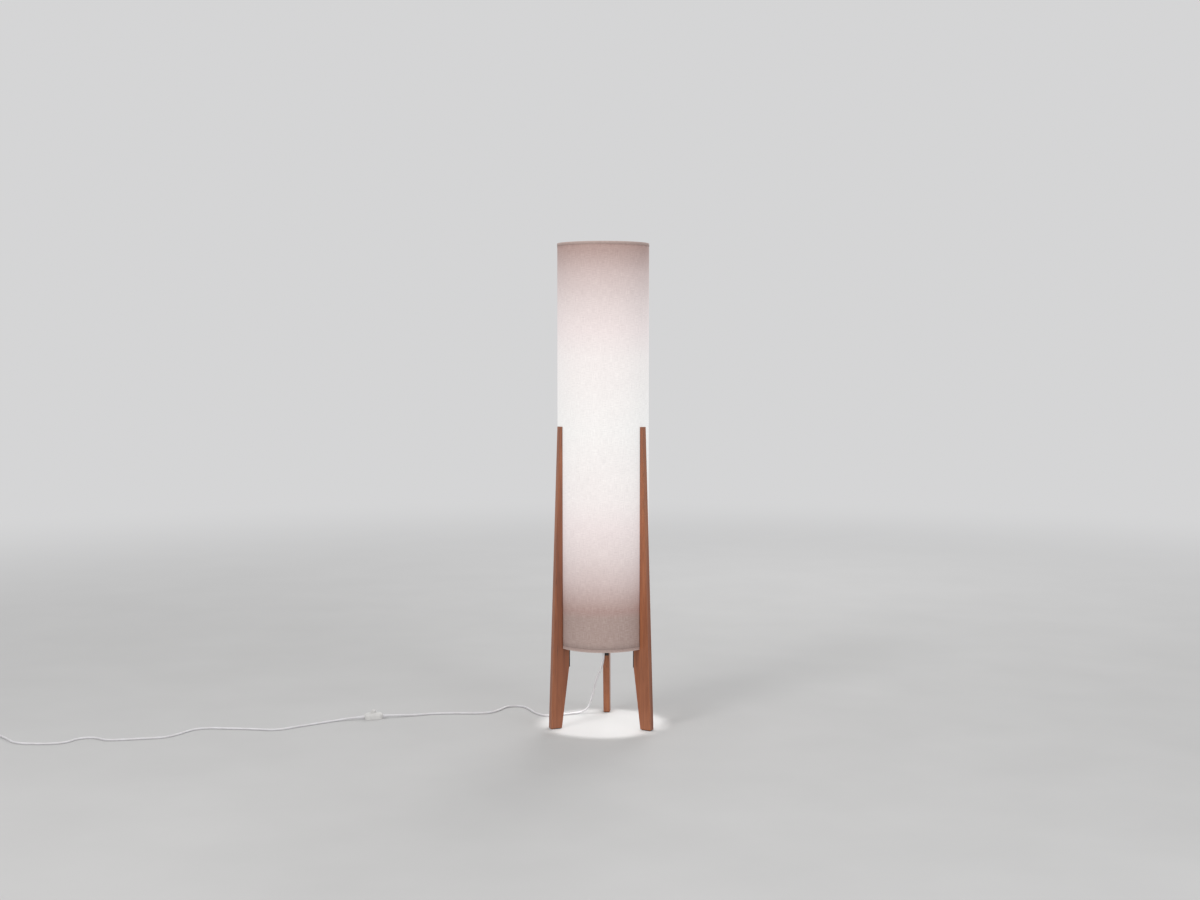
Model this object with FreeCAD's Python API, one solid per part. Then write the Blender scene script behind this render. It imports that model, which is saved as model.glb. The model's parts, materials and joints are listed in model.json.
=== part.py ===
import FreeCAD, Part
import math
import os

# Column floor lamp, in millimetres.  The floor is the plane z = 0 and the shade's axis is the Z axis.
# Three flat wooden legs stand round a tall cylindrical fabric shade and carry it on a step.  The front of
# the lamp faces -Y: two legs stand 60 degrees to either side of the front and the third is at the back.
# A down-swept steel spider inside the shade ties the tops of the legs and carries the lampholder, and a
# wire ring with three drop tabs ties them under the shade.  The cord leaves at the back leg's tab and
# runs along the floor through a foot switch to a coil and its plug.

# ---------------------------------------------------------------- shade
SHADE_RADIUS = 125.0          # outer face of the fabric
SHADE_HEIGHT = 1100.0
SHADE_BOTTOM = 220.0
FABRIC_WALL = 0.6
LINER_WALL = 0.5
BINDING_WALL = 0.4            # edge tape folded over the rim
BINDING_OUTSIDE = 8.0
BINDING_INSIDE = 6.0
RING_WIRE = 4.0               # wire diameter of both rings
RING_GAP = 0.1

# ---------------------------------------------------------------- legs
LEG_ANGLES = {"left": 210.0, "right": 330.0, "back": 90.0}
LEG_THICKNESS = 18.0
LEG_HEIGHT = 825.0
LEG_TOP_DEPTH = 8.0           # radial depth at the top
LEG_FOOT_REACH = 35.0         # foot's outer edge beyond the face that touches the shade
LEG_FOOT_DEPTH = 32.0
LEG_STEP = 19.0               # the step under the shade
LEG_KNEE = 168.0              # height where the inner edge starts to slant
LEG_GAP = 0.1                 # between the shade's binding and the leg
LEG_ROUND = 1.2
STEP_CHAMFER = 2.5            # clears the bend of the steel tab
LONG_EDGE = 40.0              # edges longer than this are rounded
PAD_THICKNESS = 2.0
PAD_INSET = 2.0

# ---------------------------------------------------------------- steel frame
TAB_WALL = 2.5
TAB_WIDTH = 16.0
TAB_BOTTOM = 168.5
TAB_BEND = 3.5                # radius of the bend along the middle of the bar
TAB_SCREWS = (178.0, 196.0)
HUB_RADIUS = 24.0
HUB_ABOVE_SCREW = 124.0       # from the arms' screws up to the hub's underside
SPIDER_WALL = 2.5
SPIDER_GAP = 0.3              # between the arms and the liner
ARM_WIDTH = 14.0
ARM_BEND = 6.0
ARM_START = 12.0
ARM_SHOULDER = 36.0           # where an arm turns down
ARM_KNEE_DROP = 84.0          # from the hub down to the arm's upright end
ARM_TAIL = 14.0               # from an arm's screw to its end
SPIDER_SCREW_DROP = 27.0      # from the leg's top to the arm's screw

# ---------------------------------------------------------------- wood screws
SCREW_RADIUS = 1.75
SCREW_HEAD_RADIUS = 3.5
SCREW_HEAD = 2.2
SCREW_TIP = 3.0
PILOT_DEEPER = 1.2            # a pilot hole beyond its screw's tip
SCREW_PLAY = 0.05             # radial, in wood
SCREW_CLEARANCE = 0.25        # radial, in steel and fabric
TAB_SCREW_LENGTH = 18.0
SPIDER_SCREW_LENGTH = 10.5
GRIP_SCREW_LENGTH = 18.0

# ---------------------------------------------------------------- lampholder
NIPPLE_PLAY = 1.1             # between the cord and the nipple's bore
NIPPLE_WALL = 1.0
NIPPLE_BELOW = 11.0
NIPPLE_ABOVE = 12.0
NIPPLE_GAP = 0.1
NUT_ACROSS = 14.0             # across the flats
NUT_HEIGHT = 4.0
HOLDER_RADIUS = 20.5
HOLDER_WALL = 2.0
HOLDER_CAP = 27.0
HOLDER_CAP_WALL = 2.4
HOLDER_CAP_FLAT = 9.5         # radius of the cap's flat top
HOLDER_CAP_RIM = 10.0         # height of the cap's straight rim
HOLDER_BODY = 29.0
HOLDER_BORE = 16.2
INSERT_RADIUS = 16.0
INSERT_FLANGE_RADIUS = 18.3
INSERT_FLANGE = 3.0
INSERT_ABOVE = 6.0            # above the seam of cap and body
INSERT_BELOW = 4.0
SHELL_RADIUS = 14.3
TERMINAL_SIDE = 9.0
TERMINAL_RADIUS = 2.5
TERMINAL_SHANK = 1.25
TERMINAL_HEAD = 2.0
TERMINAL_FLOOR = 2.0          # ceramic left under a terminal screw
TERMINAL_GAP = 0.05

# ---------------------------------------------------------------- bulb, cap upwards
THREAD_RADIUS = 12.7          # middle of the rounded thread
THREAD_WAVE = 0.4
THREAD_PITCH = 3.62
THREAD_TURNS = 5
THREAD_GAP = 0.15
THREAD_WALL = 0.35
CONTACT_LEAF = 2.0
BULB_PIP = 1.5
BULB_CONE = 3.5
GLOBE_RADIUS = 30.0
GLOBE_DROP = 106.0            # from the hub down to the globe's centre
GLOBE_SEAM_DROP = 89.0        # from the hub down to where the globe meets its housing
GLOBE_WALL = 1.2
HOUSING_WALL = 1.8
BOARD_THICKNESS = 1.6
BOARD_GAP = 0.2

# ---------------------------------------------------------------- cord
CORD_RADIUS = 2.9
CORD_GAP = 0.05
FLOOR_LINE = CORD_RADIUS      # height of the cord's axis where it lies on the floor
WIRE_RADIUS = 0.9             # one insulated conductor
WIRE_SPREAD = 1.3
NEUTRAL_SIDE = 7.5            # how far to the side the neutral passes through the switch
WIRE_END_GAP = 0.6            # from a conductor's end to its terminal
CORNER_SHARE = 0.45           # share of the shorter run that an arc uses up
GRIP_SIDE = 6.0               # cord's offset along the back leg's tab
GRIP_STANDOFF = 8.0           # from the tab's face to the cord's axis
GRIP_LOW = 203.0
GRIP_HIGH = 217.0
GRIP_HALF = 6.5
GRIP_EAR = 3.0
GRIP_SCREW_OFF = 3.7          # from the boss to the middle of the grip's screw
GRIP_TIP = 178.0
RELIEF_ROOT_WALL = 2.1
RELIEF_TIP_WALL = 0.6
TIE_WALL = 0.9
TIE_WIDTH = 3.6
TIE_RADIUS_AT = 97.0          # where the tie holds the lead on the back arm
LEAD_SIDE_GAP = 0.15

# ---------------------------------------------------------------- foot switch
SWITCH_AT = (-644.6, -1.6)
SWITCH_TURN = 20.5            # degrees about Z
SWITCH_LENGTH = 52.0
SWITCH_WIDTH = 28.0
SWITCH_HEIGHT = 18.0
SWITCH_WALL = 2.0
SWITCH_BASE = 3.0
SWITCH_DOME = 9.0             # rounding of the cover's upper edge
SWITCH_BOSS_AT = (16.0, 7.2)
SWITCH_BOSS = 2.6
COLLAR_RADIUS = 8.2
COLLAR_LOW = 13.0
COLLAR_HIGH = 19.5
BUTTON_RADIUS = 6.0
BUTTON_GAP = 0.4
BUTTON_TOP = 26.0
BUTTON_TRAVEL = 3.5
BUTTON_BORE = 4.4
BUTTON_FLANGE = 7.6
BUTTON_FLANGE_HEIGHT = 1.3
BUTTON_FOOT = 5.4
BRIDGE_WALL = 0.8
BRIDGE_GAP = 0.05
STOP_GAP = 0.3                # between the flange and the collar at rest
CONTACT_GAP = 0.5             # left between the bridge and the contacts at full travel
CONTACT_WALL = 0.6
CONTACT_SIDE = 9.0
SPRING_RADIUS = 3.6
SPRING_WIRE = 0.35            # wire radius
SPRING_GAP = 0.05             # between the spring's ends and their seats
SPRING_TURNS = 6
SWITCH_CORD_ENDS = 3.5        # how far the cord reaches into the switch
SWITCH_RELIEF = 20.0
SWITCH_RELIEF_ROOT_WALL = 1.4
SWITCH_RELIEF_TIP_WALL = 0.45
SWITCH_NECK_WALL = 0.8
SWITCH_BEAD_WALL = 1.05
SWITCH_BEAD_AT = (2.8, 4.0)   # where the bead lies inside the switch's end
SWITCH_BEAD_GAP = 0.05        # between the bead and the base

# ---------------------------------------------------------------- coil and plug
COIL_ENTRY = (-1645.0, -280.0)
COIL_OUTER = 38.4             # radius of the outermost turn's axis
COIL_GAP = 0.6                # between neighbouring turns and layers
COIL_QUARTERS = 8             # quarter turns in each layer
COIL_LIFT = 1.0               # the ties under the coil lift it
COIL_TIE_WALL = 0.8
COIL_TIE_WIDTH = 9.0
COIL_TIE_GAP = 0.3
COIL_TIE_ROUND = 3.4          # outer corners, which follow the turns
COIL_TIE_ANGLES = (-20.0, 160.0)
PLUG_AT = (-1712.0, -355.0)   # rear face of the plug's body
PLUG_WIDTH = 35.3
PLUG_THICKNESS = 13.7
PLUG_LENGTH = 36.0
PLUG_REAR_WIDTH = 13.0
PLUG_REAR_THICKNESS = 11.0
PLUG_RELIEF = 20.0
PLUG_RELIEF_BORE = 16.0
PIN_RADIUS = 2.0
PIN_CORE = 1.5
PIN_LENGTH = 19.0
PIN_SLEEVE = 10.0
PIN_SLEEVE_RADIUS = 1.8
PIN_SPACING = 18.6
PIN_ROOT = 8.0                # how far a pin reaches into the plug

# ---------------------------------------------------------------- worked out from the sizes above
SHADE_TOP = SHADE_BOTTOM + SHADE_HEIGHT
LINER_OUTER = SHADE_RADIUS - FABRIC_WALL
LINER_INNER = LINER_OUTER - LINER_WALL
BINDING_OUTER = SHADE_RADIUS + BINDING_WALL
BINDING_INNER = LINER_INNER - BINDING_WALL
RING_RADIUS = BINDING_INNER - RING_GAP - RING_WIRE / 2
LEG_INNER = BINDING_OUTER + LEG_GAP
STEP_INNER = LEG_INNER - LEG_STEP
TAB_INNER = STEP_INNER - TAB_WALL
SPIDER_SCREW = LEG_HEIGHT - SPIDER_SCREW_DROP
HUB_HEIGHT = SPIDER_SCREW + HUB_ABOVE_SCREW
HUB_TOP = HUB_HEIGHT + SPIDER_WALL
ARM_OUTER = math.sqrt(LINER_INNER ** 2 - (ARM_WIDTH / 2) ** 2) - SPIDER_GAP
ARM_MIDDLE = ARM_OUTER - SPIDER_WALL / 2
ARM_LEVEL = HUB_HEIGHT + SPIDER_WALL / 2
ARM_END = SPIDER_SCREW - ARM_TAIL
NIPPLE_BORE = CORD_RADIUS + NIPPLE_PLAY
NIPPLE_RADIUS = NIPPLE_BORE + NIPPLE_WALL
HOLDER_SEAM = HUB_HEIGHT - HOLDER_CAP
INSERT_LOW = HOLDER_SEAM - INSERT_BELOW
BULB_PIP_TOP = INSERT_LOW - CONTACT_LEAF
BULB_CAP_TOP = BULB_PIP_TOP - BULB_PIP - BULB_CONE
BULB_CAP_LOW = BULB_CAP_TOP - THREAD_PITCH * THREAD_TURNS
GLOBE_CENTRE = HUB_HEIGHT - GLOBE_DROP
GLOBE_SEAM = HUB_HEIGHT - GLOBE_SEAM_DROP
GRIP_RADIUS_AT = TAB_INNER - GRIP_STANDOFF
RELIEF_ROOT = CORD_RADIUS + RELIEF_ROOT_WALL
RELIEF_TIP = CORD_RADIUS + RELIEF_TIP_WALL
SWITCH_RELIEF_ROOT = CORD_RADIUS + SWITCH_RELIEF_ROOT_WALL
SWITCH_RELIEF_TIP = CORD_RADIUS + SWITCH_RELIEF_TIP_WALL
SWITCH_NECK = CORD_RADIUS + SWITCH_NECK_WALL
SWITCH_BEAD = CORD_RADIUS + SWITCH_BEAD_WALL
SWITCH_AXIS = SWITCH_BASE + SWITCH_BEAD + SWITCH_BEAD_GAP
SWITCH_TIP = SWITCH_LENGTH / 2 + SWITCH_RELIEF
FLANGE_TOP = COLLAR_LOW - STOP_GAP
FLANGE_LOW = FLANGE_TOP - BUTTON_FLANGE_HEIGHT
BUTTON_LOW = 8.0
SPRING_TOP = 22.0
PLUG_AXIS = PLUG_THICKNESS / 2
COIL_PITCH = 2 * CORD_RADIUS + COIL_GAP
COIL_LOW = CORD_RADIUS + COIL_LIFT

ORIGIN = FreeCAD.Vector(0, 0, 0)
UP = FreeCAD.Vector(0, 0, 1)


# ================================================================ general helpers
def vec(x, y, z):
    return FreeCAD.Vector(x, y, z)


def sound(shape):
    """Turn a solid the right way out."""
    if shape.Volume < 0:
        shape.reverse()
    return shape


def outline(start, *steps):
    """Closed face in the XZ plane.  A step is a point, or (middle, end) for an arc."""
    edges = []
    here = start
    for step in steps:
        is_arc = isinstance(step[0], tuple)
        end = step[1] if is_arc else step
        a = vec(here[0], 0, here[1])
        b = vec(end[0], 0, end[1])
        if is_arc:
            middle = vec(step[0][0], 0, step[0][1])
            edges.append(Part.Arc(a, middle, b).toShape())
        else:
            edges.append(Part.LineSegment(a, b).toShape())
        here = end
    if here != start:
        edges.append(Part.LineSegment(vec(here[0], 0, here[1]), vec(start[0], 0, start[1])).toShape())
    return Part.Face(Part.Wire(edges))


def revolved(start, *steps):
    """Solid turned about Z from an outline of (radius, height) points."""
    return sound(outline(start, *steps).revolve(ORIGIN, UP, 360))


def cylinder(radius, low, high, x=0.0, y=0.0):
    return Part.makeCylinder(radius, high - low, vec(x, y, low), UP)


def sleeve(inner, outer, low, high):
    return revolved((inner, low), (outer, low), (outer, high), (inner, high))


def block(x0, x1, y0, y1, z0, z1):
    return Part.makeBox(x1 - x0, y1 - y0, z1 - z0, vec(x0, y0, z0))


def stadium(length, width, low, high):
    """Upright solid with straight sides and half-round ends along X."""
    straight = (length - width) / 2
    side = width / 2
    corners = [vec(-straight, -side, low), vec(straight, -side, low),
               vec(straight, side, low), vec(-straight, side, low)]
    wire = Part.Wire([
        Part.LineSegment(corners[0], corners[1]).toShape(),
        Part.Arc(corners[1], vec(length / 2, 0, low), corners[2]).toShape(),
        Part.LineSegment(corners[2], corners[3]).toShape(),
        Part.Arc(corners[3], vec(-length / 2, 0, low), corners[0]).toShape(),
    ])
    return Part.Face(wire).extrude(vec(0, 0, high - low))


def round_level(shape, level, radius):
    """Round the edges that lie flat at one height."""
    edges = [e for e in shape.Edges if all(abs(v.Z - level) < 1e-6 for v in e.Vertexes)]
    return shape.makeFillet(radius, edges)


def hexagon(across, bore, low, high):
    corner = across / math.sqrt(3)
    points = [vec(corner * math.cos(math.radians(60 * i)), corner * math.sin(math.radians(60 * i)), low)
              for i in range(7)]
    prism = Part.Face(Part.makePolygon(points)).extrude(vec(0, 0, high - low))
    return prism.cut(cylinder(bore, low, high))


def aimed(shape, at, direction):
    """Turn a shape made along +Z to a direction and move its origin."""
    moved = shape.copy()
    moved.Placement = FreeCAD.Placement(at, FreeCAD.Rotation(UP, direction))
    return moved


def at_leg(shape, side):
    """A shape made with +X radial and +Y tangential, turned to a leg."""
    return shape.rotated(ORIGIN, UP, LEG_ANGLES[side])


def at_switch(shape):
    """A shape made in the switch's own frame, with +X along the cord towards the lamp."""
    return shape.rotated(ORIGIN, UP, SWITCH_TURN).translated(vec(SWITCH_AT[0], SWITCH_AT[1], 0))


def switch_point(x, y, z):
    turn = math.radians(SWITCH_TURN)
    return (SWITCH_AT[0] + x * math.cos(turn) - y * math.sin(turn),
            SWITCH_AT[1] + x * math.sin(turn) + y * math.cos(turn), z)


def group(shapes):
    return Part.Compound(shapes)


# ================================================================ paths, bars and tubes
def corner_arc(a, corner, b):
    """Arc from a to b, tangent to a-corner and corner-b, which are equally long, and its radius."""
    u = (corner - a).normalize()
    w = (b - corner).normalize()
    half = u.getAngle(w) / 2
    radius = (corner - a).Length / math.tan(half)
    middle = corner + (w - u).normalize() * (radius / math.cos(half) - radius)
    return Part.Arc(a, middle, b), radius


def path_of(points, radius=None):
    """Straight runs joined by tangent arcs, each as large as its runs allow if no radius is given."""
    corners = [vec(*p) for p in points]
    edges = []
    radii = []
    here = corners[0]
    for before, corner, after in zip(corners, corners[1:], corners[2:]):
        run = min((corner - before).Length, (after - corner).Length)
        into = (corner - before).normalize()
        out = (after - corner).normalize()
        if radius is None:
            cut = CORNER_SHARE * run
        else:
            cut = radius * math.tan(into.getAngle(out) / 2)
        a = corner - into * cut
        b = corner + out * cut
        arc, found = corner_arc(a, corner, b)
        edges.append(Part.LineSegment(here, a).toShape())
        edges.append(arc.toShape())
        radii.append(found)
        here = b
    edges.append(Part.LineSegment(here, corners[-1]).toShape())
    return Part.Wire(edges), radii


def tube(points, radius, name=None):
    """Round tube along a path; a named one prints its length, radii and volume against its section."""
    path, radii = path_of(points)
    start = vec(*points[0])
    ring = Part.Wire(Part.Circle(start, vec(*points[1]) - start, radius).toShape())
    solid = sound(path.makePipeShell([ring], True, False))
    if name:
        runs = [(vec(*q) - vec(*p)).Length for p, q in zip(points, points[1:])]
        share = solid.Volume / (math.pi * radius ** 2 * path.Length)
        print(f"{name}: {path.Length:.1f} mm, volume over section times length {share:.4f}")
        print("  runs", " ".join(f"{r:.0f}" for r in runs))
        print("  radii", " ".join(f"{r:.0f}" for r in radii))
    return solid


def bar(points, wall, width, bend):
    """Flat bar bent in the XZ plane; its points follow the middle of the bar as (radius, height)."""
    path, _ = path_of([(x, 0, z) for x, z in points], bend)
    start = vec(points[0][0], 0, points[0][1])
    along = (vec(points[1][0], 0, points[1][1]) - start).normalize()
    across = along.cross(vec(0, 1, 0)) * (wall / 2)
    side = vec(0, width / 2, 0)
    corners = [start + across + side, start + across - side, start - across - side, start - across + side]
    profile = Part.makePolygon(corners + corners[:1])
    return sound(path.makePipeShell([profile], True, False))


def biarc(p0, t0, p1, t1):
    """Two arcs from p0 along t0 to p1 along t1."""
    v = p1 - p0
    t = t0 + t1
    a = 2 * (1 - t0.dot(t1))
    d = (-v.dot(t) + math.sqrt(v.dot(t) ** 2 + a * v.dot(v))) / a
    q0 = p0 + t0 * d
    q1 = p1 - t1 * d
    joint = (q0 + q1) * 0.5
    return [corner_arc(p0, q0, joint)[0], corner_arc(joint, q1, p1)[0]]


def wound_tube(stations, radius, name, lead=0.0):
    """Tube through (point, tangent) stations a quarter turn apart, straight at its ends; prints its gap."""
    first, first_way = stations[0]
    last, last_way = stations[-1]
    edges = []
    if lead:
        edges.append(Part.LineSegment(first - first_way * lead, first).toShape())
    for (p0, t0), (p1, t1) in zip(stations, stations[1:]):
        edges.extend(arc.toShape() for arc in biarc(p0, t0, p1, t1))
    if lead:
        edges.append(Part.LineSegment(last, last + last_way * lead).toShape())
    path = Part.Wire(edges)
    ring = Part.Wire(Part.Circle(first - first_way * lead, first_way, radius).toShape())
    solid = sound(path.makePipeShell([ring], True, False))
    gap = self_gap(path, radius)
    print(f"{name}: {path.Length:.1f} mm, least gap to itself {gap:.2f} mm")
    return solid


def self_gap(path, radius):
    """Least gap between stretches of a tube that are more than a few diameters apart along it."""
    points = path.discretize(Number=int(path.Length / (0.6 * radius)) + 2)
    step = path.Length / (len(points) - 1)
    apart = int(8 * radius / step) + 1
    least = min((a - b).Length for i, a in enumerate(points) for b in points[i + apart:])
    return least - 2 * radius


# ================================================================ shade
def shade_walls():
    low = SHADE_BOTTOM + BINDING_WALL
    high = SHADE_TOP - BINDING_WALL
    fabric = sleeve(LINER_OUTER, SHADE_RADIUS, low, high)
    liner = sleeve(LINER_INNER, LINER_OUTER, low, high)
    for side in LEG_ANGLES:
        hole = aimed(cylinder(SCREW_RADIUS + SCREW_CLEARANCE, 0, 20), vec(ARM_OUTER - 5, 0, SPIDER_SCREW),
                     vec(1, 0, 0))
        hole = at_leg(hole, side)
        fabric = fabric.cut(hole)
        liner = liner.cut(hole)
    return fabric, liner


def binding(rim, inward):
    """Tape folded over a rim; inward is +1 when the shade lies above the rim and -1 below."""
    return revolved((BINDING_INNER, rim), (BINDING_OUTER, rim),
                    (BINDING_OUTER, rim + inward * BINDING_OUTSIDE),
                    (SHADE_RADIUS, rim + inward * BINDING_OUTSIDE),
                    (SHADE_RADIUS, rim + inward * BINDING_WALL),
                    (LINER_INNER, rim + inward * BINDING_WALL),
                    (LINER_INNER, rim + inward * BINDING_INSIDE),
                    (BINDING_INNER, rim + inward * BINDING_INSIDE))


def wire_ring(height):
    return Part.makeTorus(RING_RADIUS, RING_WIRE / 2, vec(0, 0, height), UP)


# ================================================================ legs, pads and screws
def leg_edge(height):
    """Radius of the leg's outer edge at a height."""
    foot = LEG_INNER + LEG_FOOT_REACH
    top = LEG_INNER + LEG_TOP_DEPTH
    return foot + (top - foot) * height / LEG_HEIGHT


def leg_heel(height):
    """Radius of the slanted inner edge at a height below the knee."""
    foot = LEG_INNER + LEG_FOOT_REACH - LEG_FOOT_DEPTH
    return foot + (STEP_INNER - foot) * height / LEG_KNEE


def pilot(x, z, depth, y=0.0):
    return aimed(cylinder(SCREW_RADIUS + SCREW_PLAY, 0, depth), vec(x, y, z), vec(1, 0, 0))


def leg(side):
    board = outline((leg_heel(PAD_THICKNESS), PAD_THICKNESS), (leg_edge(PAD_THICKNESS), PAD_THICKNESS),
                    (leg_edge(LEG_HEIGHT), LEG_HEIGHT), (LEG_INNER, LEG_HEIGHT),
                    (LEG_INNER, SHADE_BOTTOM), (STEP_INNER + STEP_CHAMFER, SHADE_BOTTOM),
                    (STEP_INNER, SHADE_BOTTOM - STEP_CHAMFER), (STEP_INNER, LEG_KNEE))
    solid = board.extrude(vec(0, LEG_THICKNESS, 0)).translated(vec(0, -LEG_THICKNESS / 2, 0))
    solid = sound(solid)
    long_edges = [e for e in solid.Edges
                  if e.Length > LONG_EDGE and abs(e.Vertexes[0].Y - e.Vertexes[1].Y) < 1e-6]
    solid = solid.makeFillet(LEG_ROUND, long_edges)
    spider_tip = ARM_OUTER - SPIDER_WALL + SPIDER_SCREW_LENGTH - LEG_INNER
    solid = solid.cut(pilot(LEG_INNER - 1, SPIDER_SCREW, spider_tip + PILOT_DEEPER))
    for height in TAB_SCREWS:
        solid = solid.cut(pilot(STEP_INNER - 1, height, TAB_SCREW_LENGTH - TAB_WALL + PILOT_DEEPER))
    if side == "back":
        depth = GRIP_SCREW_LENGTH - GRIP_EAR - TAB_WALL + PILOT_DEEPER
        solid = solid.cut(pilot(STEP_INNER - 1, grip_screw_height(), depth, grip_screw_side()))
    return at_leg(solid, side)


def foot_pad(side):
    inner = leg_heel(0) + PAD_INSET
    outer = leg_edge(0) - PAD_INSET
    half = LEG_THICKNESS / 2 - PAD_INSET
    pad = block(inner, outer, -half, half, 0, PAD_THICKNESS)
    upright = [e for e in pad.Edges if abs(e.Vertexes[0].Z - e.Vertexes[1].Z) > 1e-6]
    return at_leg(pad.makeFillet(PAD_INSET, upright), side)


def wood_screw(length):
    """Pan-head screw along +Z with its head's seat at z = 0 and a cross recess."""
    body = revolved((0, -SCREW_HEAD), (SCREW_HEAD_RADIUS * 0.5, -SCREW_HEAD),
                    ((SCREW_HEAD_RADIUS * 0.86, -SCREW_HEAD * 0.62), (SCREW_HEAD_RADIUS, 0)),
                    (SCREW_RADIUS, 0), (SCREW_RADIUS, length - SCREW_TIP), (0.2, length), (0, length))
    slot = SCREW_HEAD_RADIUS * 0.55
    depth = SCREW_HEAD * 0.55
    for a, b in ((slot, 0.4), (0.4, slot)):
        body = body.cut(block(-a, a, -b, b, -SCREW_HEAD - 1, -SCREW_HEAD + depth))
    return body


def tab_screws():
    screws = []
    for side in LEG_ANGLES:
        for height in TAB_SCREWS:
            screw = aimed(wood_screw(TAB_SCREW_LENGTH), vec(TAB_INNER, 0, height), vec(1, 0, 0))
            screws.append(at_leg(screw, side))
    return group(screws)


def spider_screws():
    seat = ARM_OUTER - SPIDER_WALL
    screw = aimed(wood_screw(SPIDER_SCREW_LENGTH), vec(seat, 0, SPIDER_SCREW), vec(1, 0, 0))
    return group([at_leg(screw, side) for side in LEG_ANGLES])


# ================================================================ steel frame
def drop_hole(x, z, y=0.0):
    hole = cylinder(SCREW_RADIUS + SCREW_CLEARANCE, -5, 5)
    return aimed(hole, vec(x, y, z), vec(1, 0, 0))


def lower_frame():
    """Ring that the shade stands round, with three tabs bent over the legs' steps."""
    frame = wire_ring(SHADE_BOTTOM + RING_WIRE / 2)
    level = SHADE_BOTTOM + TAB_WALL / 2
    upright = TAB_INNER + TAB_WALL / 2
    for side in LEG_ANGLES:
        tab = bar([(RING_RADIUS, level), (upright, level), (upright, TAB_BOTTOM)],
                  TAB_WALL, TAB_WIDTH, TAB_BEND)
        for height in TAB_SCREWS:
            tab = tab.cut(drop_hole(upright, height))
        if side == "back":
            tab = tab.cut(drop_hole(upright, grip_screw_height(), grip_screw_side()))
        frame = frame.fuse(at_leg(tab, side))
    return frame


def arm_height(radius):
    """Height of the middle of a spider arm on its slope."""
    share = (radius - ARM_SHOULDER) / (ARM_MIDDLE - ARM_SHOULDER)
    return ARM_LEVEL - share * (ARM_KNEE_DROP + SPIDER_WALL / 2)


def lamp_spider():
    knee = HUB_HEIGHT - ARM_KNEE_DROP
    hub = cylinder(HUB_RADIUS, HUB_HEIGHT, HUB_TOP)
    for side in LEG_ANGLES:
        arm = bar([(ARM_START, ARM_LEVEL), (ARM_SHOULDER, ARM_LEVEL), (ARM_MIDDLE, knee),
                   (ARM_MIDDLE, ARM_END)], SPIDER_WALL, ARM_WIDTH, ARM_BEND)
        arm = arm.cut(drop_hole(ARM_MIDDLE, SPIDER_SCREW))
        hub = hub.fuse(at_leg(arm, side))
    hub = hub.removeSplitter()
    return hub.cut(cylinder(NIPPLE_RADIUS + NIPPLE_GAP, HUB_HEIGHT - 5, HUB_TOP + 5))


# ================================================================ lampholder and bulb
def holder_parts():
    top = HUB_HEIGHT
    seam = HOLDER_SEAM
    nipple = sleeve(NIPPLE_BORE, NIPPLE_RADIUS, top - NIPPLE_BELOW, HUB_TOP + NIPPLE_ABOVE)
    nuts = group([
        hexagon(NUT_ACROSS, NIPPLE_RADIUS + NIPPLE_GAP, HUB_TOP, HUB_TOP + NUT_HEIGHT),
        hexagon(NUT_ACROSS, NIPPLE_RADIUS + NIPPLE_GAP, top - HOLDER_CAP_WALL - NUT_HEIGHT,
                top - HOLDER_CAP_WALL),
    ])
    inner = HOLDER_RADIUS - HOLDER_WALL
    shoulder = seam + HOLDER_CAP_RIM
    ceiling = top - HOLDER_CAP_WALL
    cap = revolved((NIPPLE_RADIUS + NIPPLE_GAP, top), (HOLDER_CAP_FLAT, top),
                   ((17.5, shoulder + 10.5), (HOLDER_RADIUS, shoulder)), (HOLDER_RADIUS, seam), (inner, seam),
                   (inner, shoulder), ((15.8, shoulder + 9.0), (9.0, ceiling)),
                   (NIPPLE_RADIUS + NIPPLE_GAP, ceiling))
    low = seam - HOLDER_BODY
    body = revolved((HOLDER_BORE, low), (HOLDER_RADIUS - 1.2, low), (HOLDER_RADIUS, low + 4),
                    (HOLDER_RADIUS, seam), (HOLDER_BORE, seam))
    insert = revolved((0, INSERT_LOW), (INSERT_RADIUS, INSERT_LOW), (INSERT_RADIUS, seam),
                      (INSERT_FLANGE_RADIUS, seam), (INSERT_FLANGE_RADIUS, seam + INSERT_FLANGE),
                      (INSERT_RADIUS, seam + INSERT_FLANGE), (INSERT_RADIUS, seam + INSERT_ABOVE),
                      (0, seam + INSERT_ABOVE))
    for x in (-TERMINAL_SIDE, TERMINAL_SIDE):
        insert = insert.cut(cylinder(TERMINAL_SHANK + TERMINAL_GAP, INSERT_LOW + TERMINAL_FLOOR,
                                     seam + INSERT_ABOVE, x))
    return nipple, nuts, cap, body, insert


def terminal_screws():
    seat = HOLDER_SEAM + INSERT_ABOVE
    screws = []
    for x in (-TERMINAL_SIDE, TERMINAL_SIDE):
        shank = cylinder(TERMINAL_SHANK, INSERT_LOW + TERMINAL_FLOOR, seat, x)
        head = cylinder(TERMINAL_RADIUS, seat, seat + TERMINAL_HEAD, x).fuse(shank)
        slot = block(x - TERMINAL_RADIUS, x + TERMINAL_RADIUS, -0.4, 0.4, seat + 1.2, seat + 3)
        screws.append(head.cut(slot))
    return group(screws)


def thread_wave(low, halves, middle, outwards=1):
    """Arc steps of a rounded thread, upwards from a height."""
    steps = []
    half = THREAD_PITCH / 2
    for i in range(halves):
        z = low + i * half
        side = outwards if i % 2 == 0 else -outwards
        steps.append(((middle + side * THREAD_WAVE, z + half / 2), (middle, z + half)))
    return steps


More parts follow.
